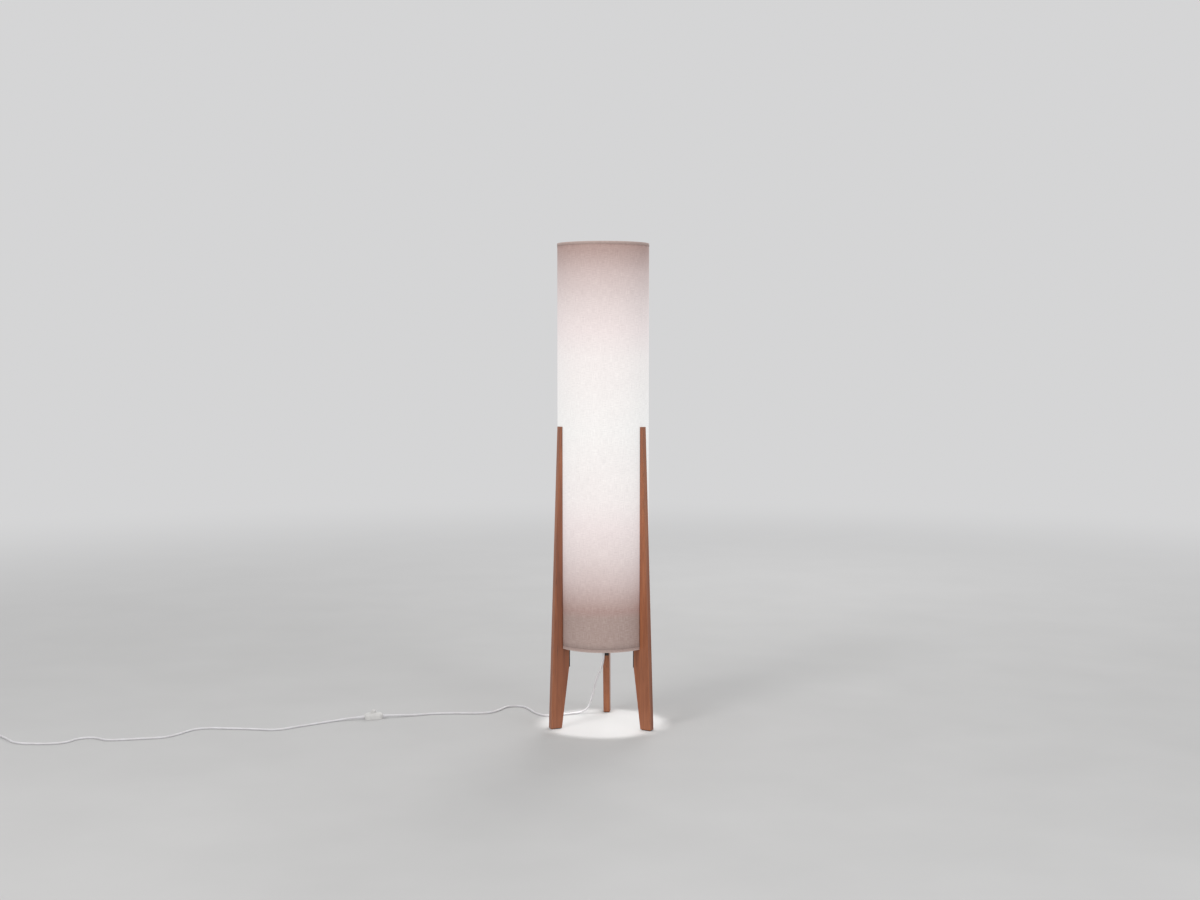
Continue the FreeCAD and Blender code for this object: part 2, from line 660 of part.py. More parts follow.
def holder_shell():
    """Threaded sleeve of the holder; its waves follow the bulb cap's."""
    middle = THREAD_RADIUS + THREAD_GAP
    skipped = 4
    low = BULB_CAP_LOW + skipped * THREAD_PITCH / 2
    halves = 2 * THREAD_TURNS - skipped
    waves = thread_wave(low, halves, middle)
    wide = middle + THREAD_WAVE
    return revolved((SHELL_RADIUS, INSERT_LOW), (SHELL_RADIUS, low), (middle, low), *waves,
                    (wide, BULB_CAP_TOP + 1), (wide, INSERT_LOW))


def holder_contact():
    """Centre contact: a leaf bent between the insert and the bulb's pip."""
    wall = 0.5
    high = INSERT_LOW - wall / 2
    low = BULB_PIP_TOP + wall / 2
    return bar([(9, high), (4, high), (2, low), (-3, low)], wall, 5.0, 0.6)


def bulb_parts():
    middle = THREAD_RADIUS
    low = BULB_CAP_LOW
    top = BULB_CAP_TOP
    bore = THREAD_RADIUS - THREAD_WAVE - THREAD_WALL
    waves = thread_wave(low, 2 * THREAD_TURNS, middle)
    cap = revolved((bore, low), (middle, low), *waves, (10.0, top), (10.0, top - 0.5), (bore, top - 0.5))
    cone_top = BULB_PIP_TOP - BULB_PIP
    insulator = revolved((0, top - 0.5), (10.0, top - 0.5), (10.0, top), (5.0, cone_top), (0, cone_top))
    pip = revolved((0, cone_top), (4.5, cone_top), ((4.1, cone_top + BULB_PIP * 0.7), (3.1, BULB_PIP_TOP)),
                   (0, BULB_PIP_TOP))

    def sphere(radius, height):
        return math.sqrt(radius ** 2 - (height - GLOBE_CENTRE) ** 2)

    seam = GLOBE_SEAM
    inner = GLOBE_RADIUS - GLOBE_WALL
    outer_edge = sphere(GLOBE_RADIUS, seam)
    inner_edge = sphere(inner, seam)
    globe = revolved((0, GLOBE_CENTRE - GLOBE_RADIUS), ((GLOBE_RADIUS, GLOBE_CENTRE), (outer_edge, seam)),
                     (inner_edge, seam), ((inner, GLOBE_CENTRE), (0, GLOBE_CENTRE - inner)))
    wall = HOUSING_WALL
    ledge = seam + BOARD_THICKNESS
    neck = low - 6
    edge_in = outer_edge - wall
    housing = revolved((edge_in, seam), (outer_edge, seam), ((19.5, seam + 13.5), (14.6, neck)),
                       (THREAD_RADIUS, low), (bore, low), (bore, neck),
                       ((17.4, seam + 13.5), (edge_in - 2, ledge + 1.5)), (edge_in - 2, ledge),
                       (edge_in, ledge))
    board = cylinder(edge_in - BOARD_GAP, seam, ledge)
    return cap, insulator, pip, globe, housing, board


def holder_wires():
    """Two conductors from the lead's end to the terminals."""
    high = HUB_HEIGHT - NIPPLE_BELOW - 2
    seat = HOLDER_SEAM + INSERT_ABOVE
    wires = []
    for way in (-1, 1):
        side = TERMINAL_SIDE - TERMINAL_RADIUS - WIRE_END_GAP
        wires.append(tube([(way * WIRE_SPREAD, 0, high), (way * WIRE_SPREAD, 0, high - 3.5),
                           (way * side, 0, seat + 1.0)], WIRE_RADIUS))
    return group(wires)


# ================================================================ inner lead, its tie and the cord grip
def grip_screw_side():
    """Tangential place of the grip's screw, on the other side of the cord's boss."""
    return GRIP_SIDE - GRIP_HALF - GRIP_SCREW_OFF


def grip_screw_height():
    return (GRIP_LOW + GRIP_HIGH) / 2


def lead_route():
    """Inner lead: out of the holder, over and down beside the back arm, then straight down to the grip."""
    top = HUB_HEIGHT
    side = -(ARM_WIDTH / 2 + CORD_RADIUS + LEAD_SIDE_GAP)
    low = TIE_RADIUS_AT - 13
    high = TIE_RADIUS_AT + 13
    return [
        (0, 0, top - NIPPLE_BELOW - 2),
        (0, 0, top + 16),
        (-1, low - 76, top + 33),
        (-2, low - 62, top + 44),
        (-4, low - 44, top + 48),
        (-6, low - 26, top + 42),
        (-8, low - 14, top + 27),
        (side + 0.5, low - 4, top - 8),
        (side, low + 2, arm_height(low + 2)),
        (side, high, arm_height(high)),
        (side, high + 4, arm_height(high) - 36),
        (-GRIP_SIDE, GRIP_RADIUS_AT, GRIP_HIGH + 24),
        (-GRIP_SIDE, GRIP_RADIUS_AT, GRIP_TIP),
    ]


def lead_tie():
    """Cable tie round the back arm and the lead beside it."""
    slope = math.atan2(ARM_KNEE_DROP + SPIDER_WALL / 2, ARM_MIDDLE - ARM_SHOULDER)
    near = -ARM_WIDTH / 2 - 0.1
    far = ARM_WIDTH / 2 + LEAD_SIDE_GAP + 2 * CORD_RADIUS + 0.1
    half = CORD_RADIUS + 0.1
    width = TIE_WIDTH / 2
    loop = block(-width, width, near - TIE_WALL, far + TIE_WALL, -half - TIE_WALL, half + TIE_WALL)
    along = [e for e in loop.Edges if abs(e.Vertexes[0].X - e.Vertexes[1].X) > 1e-6]
    loop = loop.makeFillet(1.5, along)
    loop = loop.cut(block(-width, width, near, far, -half, half))
    head = block(-width - 0.6, width + 0.6, near, near + 4.5, half, half + 3.6)
    loop = loop.fuse(head).removeSplitter()
    loop = loop.rotated(ORIGIN, vec(0, 1, 0), math.degrees(slope))
    return at_leg(loop.translated(vec(TIE_RADIUS_AT, 0, arm_height(TIE_RADIUS_AT))), "back")


def cord_grip():
    """Moulded clamp on the back tab with a tapered strain relief pointing down."""
    x = GRIP_RADIUS_AT
    y = GRIP_SIDE
    boss = block(x - GRIP_HALF + 1, TAB_INNER, y - GRIP_HALF, y + GRIP_HALF, GRIP_LOW, GRIP_HIGH)
    front = [e for e in boss.Edges if abs(e.Vertexes[0].Z - e.Vertexes[1].Z) > 1e-6 and e.Vertexes[0].X < x]
    boss = boss.makeFillet(3.0, front)
    ear = block(TAB_INNER - GRIP_EAR, TAB_INNER, -TAB_WIDTH / 2, y - GRIP_HALF, GRIP_LOW, GRIP_HIGH)
    relief = Part.makeCone(RELIEF_TIP, RELIEF_ROOT, GRIP_LOW - GRIP_TIP, vec(x, y, GRIP_TIP), UP)
    grip = boss.fuse([ear, relief]).removeSplitter()
    grip = grip.cut(cylinder(CORD_RADIUS + CORD_GAP, GRIP_TIP - 1, GRIP_HIGH + 1, x, y))
    grip = grip.cut(drop_hole(TAB_INNER, grip_screw_height(), grip_screw_side()))
    return at_leg(grip, "back")


def grip_screw():
    seat = vec(TAB_INNER - GRIP_EAR, grip_screw_side(), grip_screw_height())
    return at_leg(aimed(wood_screw(GRIP_SCREW_LENGTH), seat, vec(1, 0, 0)), "back")


# ================================================================ foot switch
def switch_cover():
    outer = stadium(SWITCH_LENGTH, SWITCH_WIDTH, SWITCH_BASE, SWITCH_HEIGHT)
    outer = round_level(outer, SWITCH_HEIGHT, SWITCH_DOME)
    wall = SWITCH_WALL
    ceiling = SWITCH_HEIGHT - wall
    hollow = stadium(SWITCH_LENGTH - 2 * wall, SWITCH_WIDTH - 2 * wall, SWITCH_BASE, ceiling)
    cover = outer.cut(round_level(hollow, ceiling, SWITCH_DOME - wall))
    cover = cover.fuse(cylinder(COLLAR_RADIUS, COLLAR_LOW, COLLAR_HIGH))
    for x in (-SWITCH_BOSS_AT[0], SWITCH_BOSS_AT[0]):
        boss = cylinder(SWITCH_BOSS, SWITCH_BASE, SWITCH_HEIGHT, x, SWITCH_BOSS_AT[1]).common(outer)
        cover = cover.fuse(boss)
        cover = cover.cut(cylinder(1.2, SWITCH_BASE, SWITCH_BASE + 8, x, SWITCH_BOSS_AT[1]))
    cover = cover.cut(cylinder(BUTTON_RADIUS + BUTTON_GAP, COLLAR_LOW - 1, COLLAR_HIGH + 1))
    mouth = cylinder(SWITCH_NECK + CORD_GAP, -SWITCH_LENGTH, SWITCH_LENGTH)
    mouth = aimed(mouth, vec(0, 0, SWITCH_AXIS), vec(1, 0, 0))
    reach = SWITCH_LENGTH / 2 - 5
    for way in (-1, 1):
        near, far = sorted((way * reach, way * SWITCH_LENGTH))
        cover = cover.cut(mouth.common(block(near, far, -20, 20, 0, 20)))
    return at_switch(cover.removeSplitter())


def switch_base():
    plate = round_level(stadium(SWITCH_LENGTH, SWITCH_WIDTH, 0, SWITCH_BASE), 0, 0.8)
    inset = 2 * SWITCH_WALL + 0.3
    rim_wall = 1.2
    rim = stadium(SWITCH_LENGTH - inset, SWITCH_WIDTH - inset, SWITCH_BASE, SWITCH_BASE + 2)
    rim = rim.cut(stadium(SWITCH_LENGTH - inset - 2 * rim_wall, SWITCH_WIDTH - inset - 2 * rim_wall,
                          SWITCH_BASE, SWITCH_BASE + 2))
    rim = rim.cut(block(-SWITCH_LENGTH, SWITCH_LENGTH, -6, 6, SWITCH_BASE, SWITCH_HEIGHT))
    for x in (-SWITCH_BOSS_AT[0], SWITCH_BOSS_AT[0]):
        rim = rim.cut(cylinder(SWITCH_BOSS + 0.3, SWITCH_BASE, SWITCH_HEIGHT, x, SWITCH_BOSS_AT[1]))
    base = plate.fuse([rim, cylinder(2.9, SWITCH_BASE, SWITCH_BASE + 3)])
    for x in (-SWITCH_BOSS_AT[0], SWITCH_BOSS_AT[0]):
        base = base.cut(cylinder(1.5, -1, SWITCH_BASE + 1, x, SWITCH_BOSS_AT[1]))
        base = base.cut(cylinder(2.7, -1, 1.6, x, SWITCH_BOSS_AT[1]))
    return at_switch(base.removeSplitter())


def switch_screws():
    screws = []
    for x in (-SWITCH_BOSS_AT[0], SWITCH_BOSS_AT[0]):
        y = SWITCH_BOSS_AT[1]
        screw = cylinder(2.5, 0.3, 1.6, x, y).fuse(cylinder(1.15, 1.6, SWITCH_BASE + 6, x, y))
        screws.append(screw.cut(block(x - 3, x + 3, y - 0.35, y + 0.35, 0, 0.9)))
    return at_switch(group(screws))


def switch_button():
    shoulder = BUTTON_TOP - 1.6
    button = revolved((BUTTON_BORE, BUTTON_LOW), (BUTTON_FOOT, BUTTON_LOW), (BUTTON_FOOT, FLANGE_LOW),
                      (BUTTON_FLANGE, FLANGE_LOW), (BUTTON_FLANGE, FLANGE_TOP), (BUTTON_RADIUS, FLANGE_TOP),
                      (BUTTON_RADIUS, shoulder), ((BUTTON_RADIUS - 0.5, BUTTON_TOP - 0.5),
                                                  (BUTTON_RADIUS - 1.8, BUTTON_TOP)),
                      (0, BUTTON_TOP), (0, SPRING_TOP), (BUTTON_BORE, SPRING_TOP))
    return at_switch(button)


def switch_bridge():
    high = FLANGE_LOW
    low = high - BRIDGE_WALL
    disc = cylinder(7.2, low, high).fuse(block(-10.5, 10.5, -3, 3, low, high))
    return at_switch(disc.removeSplitter().cut(cylinder(BUTTON_FOOT + BRIDGE_GAP, low, high)))


def switch_contacts():
    top = FLANGE_LOW - BRIDGE_WALL - BUTTON_TRAVEL - CONTACT_GAP - CONTACT_WALL / 2
    blades = []
    for way in (-1, 1):
        blades.append(bar([(way * (CONTACT_SIDE + 4), SWITCH_BASE), (way * (CONTACT_SIDE + 4), top),
                           (way * (CONTACT_SIDE - 1.5), top)], CONTACT_WALL, 6.0, 0.8))
    return at_switch(group(blades))


def switch_spring():
    low = SWITCH_BASE + SPRING_WIRE + SPRING_GAP
    high = SPRING_TOP - SPRING_WIRE - SPRING_GAP
    quarters = 4 * SPRING_TURNS
    stations = []
    for i in range(quarters + 1):
        angle = math.pi / 2 * i
        flat = i < 2 or i > quarters - 2
        share = min(max((i - 2) / (quarters - 4), 0), 1)
        rise = 0.0 if flat else (high - low) / (math.pi / 2 * (quarters - 4))
        point = vec(SPRING_RADIUS * math.cos(angle), SPRING_RADIUS * math.sin(angle),
                    low + 0.06 * min(i, 2) + (high - low - 0.24) * share + 0.06 * max(i - quarters + 2, 0))
        way = vec(-SPRING_RADIUS * math.sin(angle), SPRING_RADIUS * math.cos(angle), rise).normalize()
        stations.append((point, way))
    return at_switch(wound_tube(stations, SPRING_WIRE, "switch_spring"))


def switch_wires():
    """Live in, live out and the neutral that passes by."""
    z = SWITCH_AXIS
    end = SWITCH_LENGTH / 2 - 6
    foot = SWITCH_BASE + 1.5
    blade = CONTACT_SIDE + 4 + CONTACT_WALL / 2 + WIRE_END_GAP
    wires = []
    for way in (-1, 1):
        wires.append(tube([(way * end, WIRE_SPREAD, z), (way * (end - 2.5), WIRE_SPREAD, z - 0.5),
                           (way * blade, WIRE_SPREAD, foot)], WIRE_RADIUS))
    wires.append(tube([(end, -WIRE_SPREAD, z), (end - 3, -WIRE_SPREAD - 0.5, z - 0.5),
                       (end - 6, -NEUTRAL_SIDE, foot), (6 - end, -NEUTRAL_SIDE, foot),
                       (3 - end, -WIRE_SPREAD - 0.5, z - 0.5), (-end, -WIRE_SPREAD, z)], WIRE_RADIUS))
    return at_switch(group(wires))


def switch_relief(way):
    """Strain relief along X: a flange inside the wall, a neck through it and a taper outside."""
    half = SWITCH_LENGTH / 2
    bore = CORD_RADIUS + CORD_GAP
    near = half - SWITCH_BEAD_AT[0]
    far = half - SWITCH_BEAD_AT[1]
    bush = revolved((bore, far), (SWITCH_BEAD, far), (SWITCH_BEAD, near), (SWITCH_NECK, near),
                    (SWITCH_NECK, half), (SWITCH_RELIEF_ROOT, half), (SWITCH_RELIEF_ROOT, half + 1.5),
                    (SWITCH_RELIEF_TIP, SWITCH_TIP), (bore, SWITCH_TIP))
    return at_switch(aimed(bush, vec(0, 0, SWITCH_AXIS), vec(way, 0, 0)))


# ================================================================ plug
def rounded_rectangle(width, thickness, corner, along):
    """Closed wire across the plug's axis, its middle on the axis and its place given along it."""
    x = width / 2
    z = thickness / 2
    k = corner * (1 - math.sqrt(0.5))
    edges = []
    sides = [((-x + corner, -z), (x - corner, -z)), ((x, -z + corner), (x, z - corner)),
             ((x - corner, z), (-x + corner, z)), ((-x, z - corner), (-x, -z + corner))]
    arcs = [(x - k, -z + k), (x - k, z - k), (-x + k, z - k), (-x + k, -z + k)]
    for i, (a, b) in enumerate(sides):
        after = sides[(i + 1) % 4][0]
        edges.append(Part.LineSegment(vec(a[0], a[1], along), vec(b[0], b[1], along)).toShape())
        edges.append(Part.Arc(vec(b[0], b[1], along), vec(arcs[i][0], arcs[i][1], along),
                              vec(after[0], after[1], along)).toShape())
    return Part.Wire(edges)


def at_plug(shape):
    """A shape made along +Z from the plug's rear face, with +X across; the pins point to -Y."""
    turned = shape.rotated(ORIGIN, vec(1, 0, 0), 90)
    return turned.translated(vec(PLUG_AT[0], PLUG_AT[1], PLUG_AXIS))


def plug_body():
    sections = [rounded_rectangle(PLUG_REAR_WIDTH, PLUG_REAR_THICKNESS, 4.0, 0),
                rounded_rectangle(PLUG_REAR_WIDTH + 6, PLUG_REAR_THICKNESS + 1.0, 4.0, PLUG_LENGTH * 0.25),
                rounded_rectangle(PLUG_WIDTH - 1, PLUG_THICKNESS, 4.0, PLUG_LENGTH * 0.72),
                rounded_rectangle(PLUG_WIDTH, PLUG_THICKNESS, 4.0, PLUG_LENGTH)]
    body = sound(Part.makeLoft(sections, True, True))
    for x in (-PIN_SPACING / 2, PIN_SPACING / 2):
        body = body.cut(cylinder(PIN_SLEEVE_RADIUS, PLUG_LENGTH - PIN_ROOT, PLUG_LENGTH + 1, x))
    return at_plug(body)


def plug_relief():
    bore = CORD_RADIUS + CORD_GAP
    relief = revolved((bore, -PLUG_RELIEF), (RELIEF_TIP, -PLUG_RELIEF), (RELIEF_ROOT, 0), (0, 0),
                      (0, PLUG_RELIEF_BORE - PLUG_RELIEF), (bore, PLUG_RELIEF_BORE - PLUG_RELIEF))
    return at_plug(relief)


def plug_pins():
    face = PLUG_LENGTH
    pin = revolved((0, face - PIN_ROOT), (PIN_CORE, face - PIN_ROOT), (PIN_CORE, face + PIN_SLEEVE),
                   (PIN_RADIUS, face + PIN_SLEEVE), (PIN_RADIUS, face + PIN_LENGTH - PIN_RADIUS),
                   ((PIN_RADIUS * math.sqrt(0.5), face + PIN_LENGTH - PIN_RADIUS * (1 - math.sqrt(0.5))),
                    (0, face + PIN_LENGTH)))
    return at_plug(group([pin.translated(vec(x, 0, 0)) for x in (-PIN_SPACING / 2, PIN_SPACING / 2)]))


def plug_sleeves():
    face = PLUG_LENGTH
    cover = sleeve(PIN_CORE, PIN_SLEEVE_RADIUS, face - PIN_ROOT, face + PIN_SLEEVE)
    return at_plug(group([cover.translated(vec(x, 0, 0)) for x in (-PIN_SPACING / 2, PIN_SPACING / 2)]))


# ================================================================ free cord
def drop_route():
    """From the grip down to the floor, behind the left leg and along the floor to the switch."""
    floor = FLOOR_LINE
    return [
        (-GRIP_SIDE, GRIP_RADIUS_AT, GRIP_TIP),
        (-GRIP_SIDE, GRIP_RADIUS_AT, GRIP_TIP - 30),
        (-27, 99, 104),
        (-37.5, 105, 58),
        (-48.6, 107.2, 18),
        (-72.6, 105.8, 3.6),
        (-105.8, 91.7, floor),
        (-139.3, 66.6, floor),
        (-175.3, 64.4, floor),
        (-203.5, 99.8, floor),
        (-222, 140.7, floor),
        (-246.5, 180.3, floor),
        (-292.1, 173.5, floor),
        (-307.9, 119.4, floor),
        (-328.9, 86.1, floor),
        (-378.3, 76, floor),
        (-441.4, 74.2, floor),
        (-498.6, 60.7, floor),
        (-538, 40, floor),
        switch_point(SWITCH_TIP + 16, 0, SWITCH_AXIS),
        switch_point(SWITCH_LENGTH / 2 - SWITCH_CORD_ENDS, 0, SWITCH_AXIS),
    ]


def run_route():
    """From the switch along the floor, past the edge of the view, to the coil."""
    floor = FLOOR_LINE
    return [
        switch_point(SWITCH_CORD_ENDS - SWITCH_LENGTH / 2, 0, SWITCH_AXIS),
        switch_point(-SWITCH_TIP - 16, 0, SWITCH_AXIS),
        (-738, -38, floor),
        (-778, -72.6, floor),
        (-828.3, -118.8, floor),
        (-877.5, -165.9, floor),
        (-940.2, -155.7, floor),
        (-1008.4, -155.9, floor),
        (-1062.6, -153.2, floor),
        (-1103.6, -171.7, floor),
        (-1124.2, -227.1, floor),
        (-1148.7, -268.6, floor),
        (-1201.9, -283.9, floor),
        (-1258.9, -302.4, floor),
        (-1296.5, -309.7, floor),
        (-1328, -285.6, floor),
        (-1359, -286.5, floor),
        (-1379.8, -307.8, floor),
        (-1387, -337.3, floor),
        (-1417.8, -357.2, floor),
        (-1470.6, -362.5, floor),
        (-1523, -357.6, floor),
        (-1562, -316, floor),
        (COIL_ENTRY[0] + 44, COIL_ENTRY[1], COIL_LOW),
        (COIL_ENTRY[0] + 2 * CORD_RADIUS, COIL_ENTRY[1], COIL_LOW),
    ]


def coil_stations():
    """Quarter-turn stations: a layer wound inwards, a climb, and a layer wound outwards on top."""
    centre = vec(COIL_ENTRY[0], COIL_ENTRY[1] - COIL_OUTER, COIL_LOW)
    quarters = 2 * COIL_QUARTERS
    quarter_step = COIL_PITCH / 4
    drift = COIL_PITCH / (2 * math.pi)
    stations = []
    for i in range(quarters + 1):
        angle = math.pi / 2 * (i + 1)
        wound_in = min(i, quarters - i)
        radius = COIL_OUTER - quarter_step * wound_in
        climb = min(max((i - COIL_QUARTERS + 1) / 2, 0), 1)
        if i in (0, COIL_QUARTERS, quarters):
            inward = 0.0
        else:
            inward = -drift if i < COIL_QUARTERS else drift
        rise = COIL_PITCH / math.pi if i == COIL_QUARTERS else 0.0
        point = centre + vec(radius * math.cos(angle), radius * math.sin(angle), COIL_PITCH * climb)
        way = vec(inward * math.cos(angle) - radius * math.sin(angle),
                  inward * math.sin(angle) + radius * math.cos(angle), rise).normalize()
        stations.append((point, way))
    return stations


def coil_ties():
    """Two bands round the coil's turns."""
    inner = COIL_OUTER - COIL_PITCH * COIL_QUARTERS / 4 - CORD_RADIUS - COIL_TIE_GAP
    outer = COIL_OUTER + CORD_RADIUS + COIL_TIE_GAP
    low = COIL_LOW - CORD_RADIUS - 0.1
    high = COIL_LOW + COIL_PITCH + CORD_RADIUS + 0.1
    wall = COIL_TIE_WALL
    half = COIL_TIE_WIDTH / 2
    band = block(inner - wall, outer + wall, -half, half, low - wall, high + wall)
    along = [e for e in band.Edges if abs(e.Vertexes[0].Y - e.Vertexes[1].Y) > 1e-6]
    hole = block(inner, outer, -half, half, low, high)
    inside = [e for e in hole.Edges if abs(e.Vertexes[0].Y - e.Vertexes[1].Y) > 1e-6]
    band = band.makeFillet(COIL_TIE_ROUND, along).cut(hole.makeFillet(COIL_TIE_ROUND - wall, inside))
    centre = vec(COIL_ENTRY[0], COIL_ENTRY[1] - COIL_OUTER, 0)
    return group([band.rotated(ORIGIN, UP, angle).translated(centre) for angle in COIL_TIE_ANGLES])


def tail_route():
    """From the top of the coil down to the plug beside it."""
    high = COIL_LOW + COIL_PITCH
    x = PLUG_AT[0]
    tip = PLUG_AT[1] + PLUG_RELIEF
    return [
        (COIL_ENTRY[0] - 2 * CORD_RADIUS, COIL_ENTRY[1], high),
        (COIL_ENTRY[0] - 32, COIL_ENTRY[1], high),
        (x + 11, COIL_ENTRY[1] - 15, high - 1),
        (x, tip + 13.5, PLUG_AXIS),
        (x, tip - PLUG_RELIEF_BORE + 0.2, PLUG_AXIS),
    ]


# ================================================================ all nodes
def build():
    nodes = {}
    nodes["shade_fabric"], nodes["shade_liner"] = shade_walls()
    nodes["top_binding"] = binding(SHADE_TOP, -1)
    nodes["bottom_binding"] = binding(SHADE_BOTTOM, 1)
    nodes["top_ring"] = wire_ring(SHADE_TOP - RING_WIRE / 2)
    nodes["lower_frame"] = lower_frame()
    nodes["tab_screws"] = tab_screws()
    for side in LEG_ANGLES:
        nodes[f"leg_{side}"] = leg(side)
        nodes[f"foot_pad_{side}"] = foot_pad(side)
    nodes["lamp_spider"] = lamp_spider()
    nodes["spider_screws"] = spider_screws()

    nipple, nuts, cap, body, insert = holder_parts()
    nodes["holder_nipple"] = nipple
    nodes["holder_nuts"] = nuts
    nodes["holder_cap"] = cap
    nodes["holder_body"] = body
    nodes["holder_insert"] = insert
    nodes["holder_shell"] = holder_shell()
    nodes["holder_contact"] = holder_contact()
    nodes["terminal_screws"] = terminal_screws()
    nodes["holder_wires"] = holder_wires()
    cap, insulator, pip, globe, housing, board = bulb_parts()
    nodes["bulb_cap"] = cap
    nodes["bulb_insulator"] = insulator
    nodes["bulb_pip"] = pip
    nodes["bulb_globe"] = globe
    nodes["bulb_housing"] = housing
    nodes["bulb_board"] = board

    nodes["inner_lead"] = tube(lead_route(), CORD_RADIUS, "inner_lead")
    nodes["lead_tie"] = lead_tie()
    nodes["cord_grip"] = cord_grip()
    nodes["grip_screw"] = grip_screw()
    nodes["cord_drop"] = tube(drop_route(), CORD_RADIUS, "cord_drop")

    nodes["switch_base"] = switch_base()
    nodes["switch_cover"] = switch_cover()
    nodes["switch_screws"] = switch_screws()
    nodes["switch_button"] = switch_button()
    nodes["switch_bridge"] = switch_bridge()
    nodes["switch_contacts"] = switch_contacts()
    nodes["switch_spring"] = switch_spring()
    nodes["switch_wires"] = switch_wires()
    nodes["switch_inlet"] = switch_relief(1)
    nodes["switch_outlet"] = switch_relief(-1)

    nodes["cord_run"] = tube(run_route(), CORD_RADIUS, "cord_run")
    nodes["cord_coil"] = wound_tube(coil_stations(), CORD_RADIUS, "cord_coil", 2 * CORD_RADIUS)
    nodes["coil_ties"] = coil_ties()
    nodes["cord_tail"] = tube(tail_route(), CORD_RADIUS, "cord_tail")
    nodes["plug_body"] = plug_body()
    nodes["plug_relief"] = plug_relief()
    nodes["plug_pins"] = plug_pins()
    nodes["plug_sleeves"] = plug_sleeves()
    return nodes


os.makedirs("parts", exist_ok=True)
for node, shape in build().items():
    if not shape.isValid():
        print(f"{node}: not valid")
    shape.exportStep(f"parts/{node}.step")
    print(f"{node}: {len(shape.Solids)} solid(s), {shape.Volume:.0f} mm3")
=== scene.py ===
import json
import math

import bmesh
import bpy
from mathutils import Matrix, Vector


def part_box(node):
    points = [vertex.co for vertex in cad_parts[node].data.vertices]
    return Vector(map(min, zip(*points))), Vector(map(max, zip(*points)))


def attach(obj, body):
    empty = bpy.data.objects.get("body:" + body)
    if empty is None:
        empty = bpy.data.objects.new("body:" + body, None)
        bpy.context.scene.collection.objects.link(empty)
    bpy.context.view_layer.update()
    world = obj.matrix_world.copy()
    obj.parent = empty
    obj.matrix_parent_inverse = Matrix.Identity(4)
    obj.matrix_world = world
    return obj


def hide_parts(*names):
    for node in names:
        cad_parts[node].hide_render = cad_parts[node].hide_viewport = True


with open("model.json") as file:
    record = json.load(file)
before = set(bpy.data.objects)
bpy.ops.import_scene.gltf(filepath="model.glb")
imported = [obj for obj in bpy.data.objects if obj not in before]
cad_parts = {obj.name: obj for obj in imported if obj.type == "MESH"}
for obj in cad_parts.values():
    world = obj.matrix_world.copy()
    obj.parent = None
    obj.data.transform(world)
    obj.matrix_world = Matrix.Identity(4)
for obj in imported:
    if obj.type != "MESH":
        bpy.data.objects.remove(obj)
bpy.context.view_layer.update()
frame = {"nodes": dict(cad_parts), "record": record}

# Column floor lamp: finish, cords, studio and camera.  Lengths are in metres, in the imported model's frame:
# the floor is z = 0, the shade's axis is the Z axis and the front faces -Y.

# ---------------------------------------------------------------- sizes that the pieces share
LEG_ANGLES = {"left": 210.0, "right": 330.0, "back": 90.0}      # degrees from +X
SHADE_LOW, SHADE_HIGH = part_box("shade_fabric")
SHADE_RADIUS = SHADE_HIGH.x
LINER_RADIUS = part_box("shade_liner")[1].x
LINER_WALL = 0.0005
GLOBE_LOW, GLOBE_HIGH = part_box("bulb_globe")
BULB_HEIGHT = (GLOBE_LOW.z + GLOBE_HIGH.z) / 2
CORD_RADIUS = 0.0029


def add_object(name, data):
    made = bpy.data.objects.new(name, data)
    bpy.context.scene.collection.objects.link(made)
    return made


def round_point(radius, angle, height):
    """The point at a radius, an angle from +X and a height."""
    return radius * math.cos(angle), radius * math.sin(angle), height


# ================================================================ camera, as the photograph was taken
CAMERA_AT = (0.3427, -4.4137, 1.0504)
CAMERA_PITCH = 3.778         # degrees below the horizon
CAMERA_YAW = 4.551           # degrees to the left of +Y
CAMERA_LENS = 48.57          # millimetres, for a sensor of this width:
SENSOR_WIDTH = 36.0


def make_camera():
    data = bpy.data.cameras.new("camera")
    data.lens = CAMERA_LENS
    data.sensor_width = SENSOR_WIDTH
    camera = add_object("camera", data)
    camera.location = CAMERA_AT
    camera.rotation_euler = (math.radians(90.0 - CAMERA_PITCH), 0.0, math.radians(CAMERA_YAW))
    bpy.context.scene.camera = camera


# ================================================================ cords
CORD_FLOOR = CORD_RADIUS     # height of a cord that lies on the floor
SWITCH_CORD = 0.007          # height of the cord where it enters the foot switch
PLUG_CORD = 0.00685          # height of the cord where it enters the plug
COIL_ENTRY = (-1.645, -0.280)
COIL_LOW = 0.0039            # height of the coil's lower layer, which lies on the ties
COIL_OUTER = 0.0384          # radius of the outer turn
COIL_PITCH = 0.0064          # from turn to turn and from layer to layer
COIL_TURNS = 4
COIL_STEPS = 16              # control points in a turn

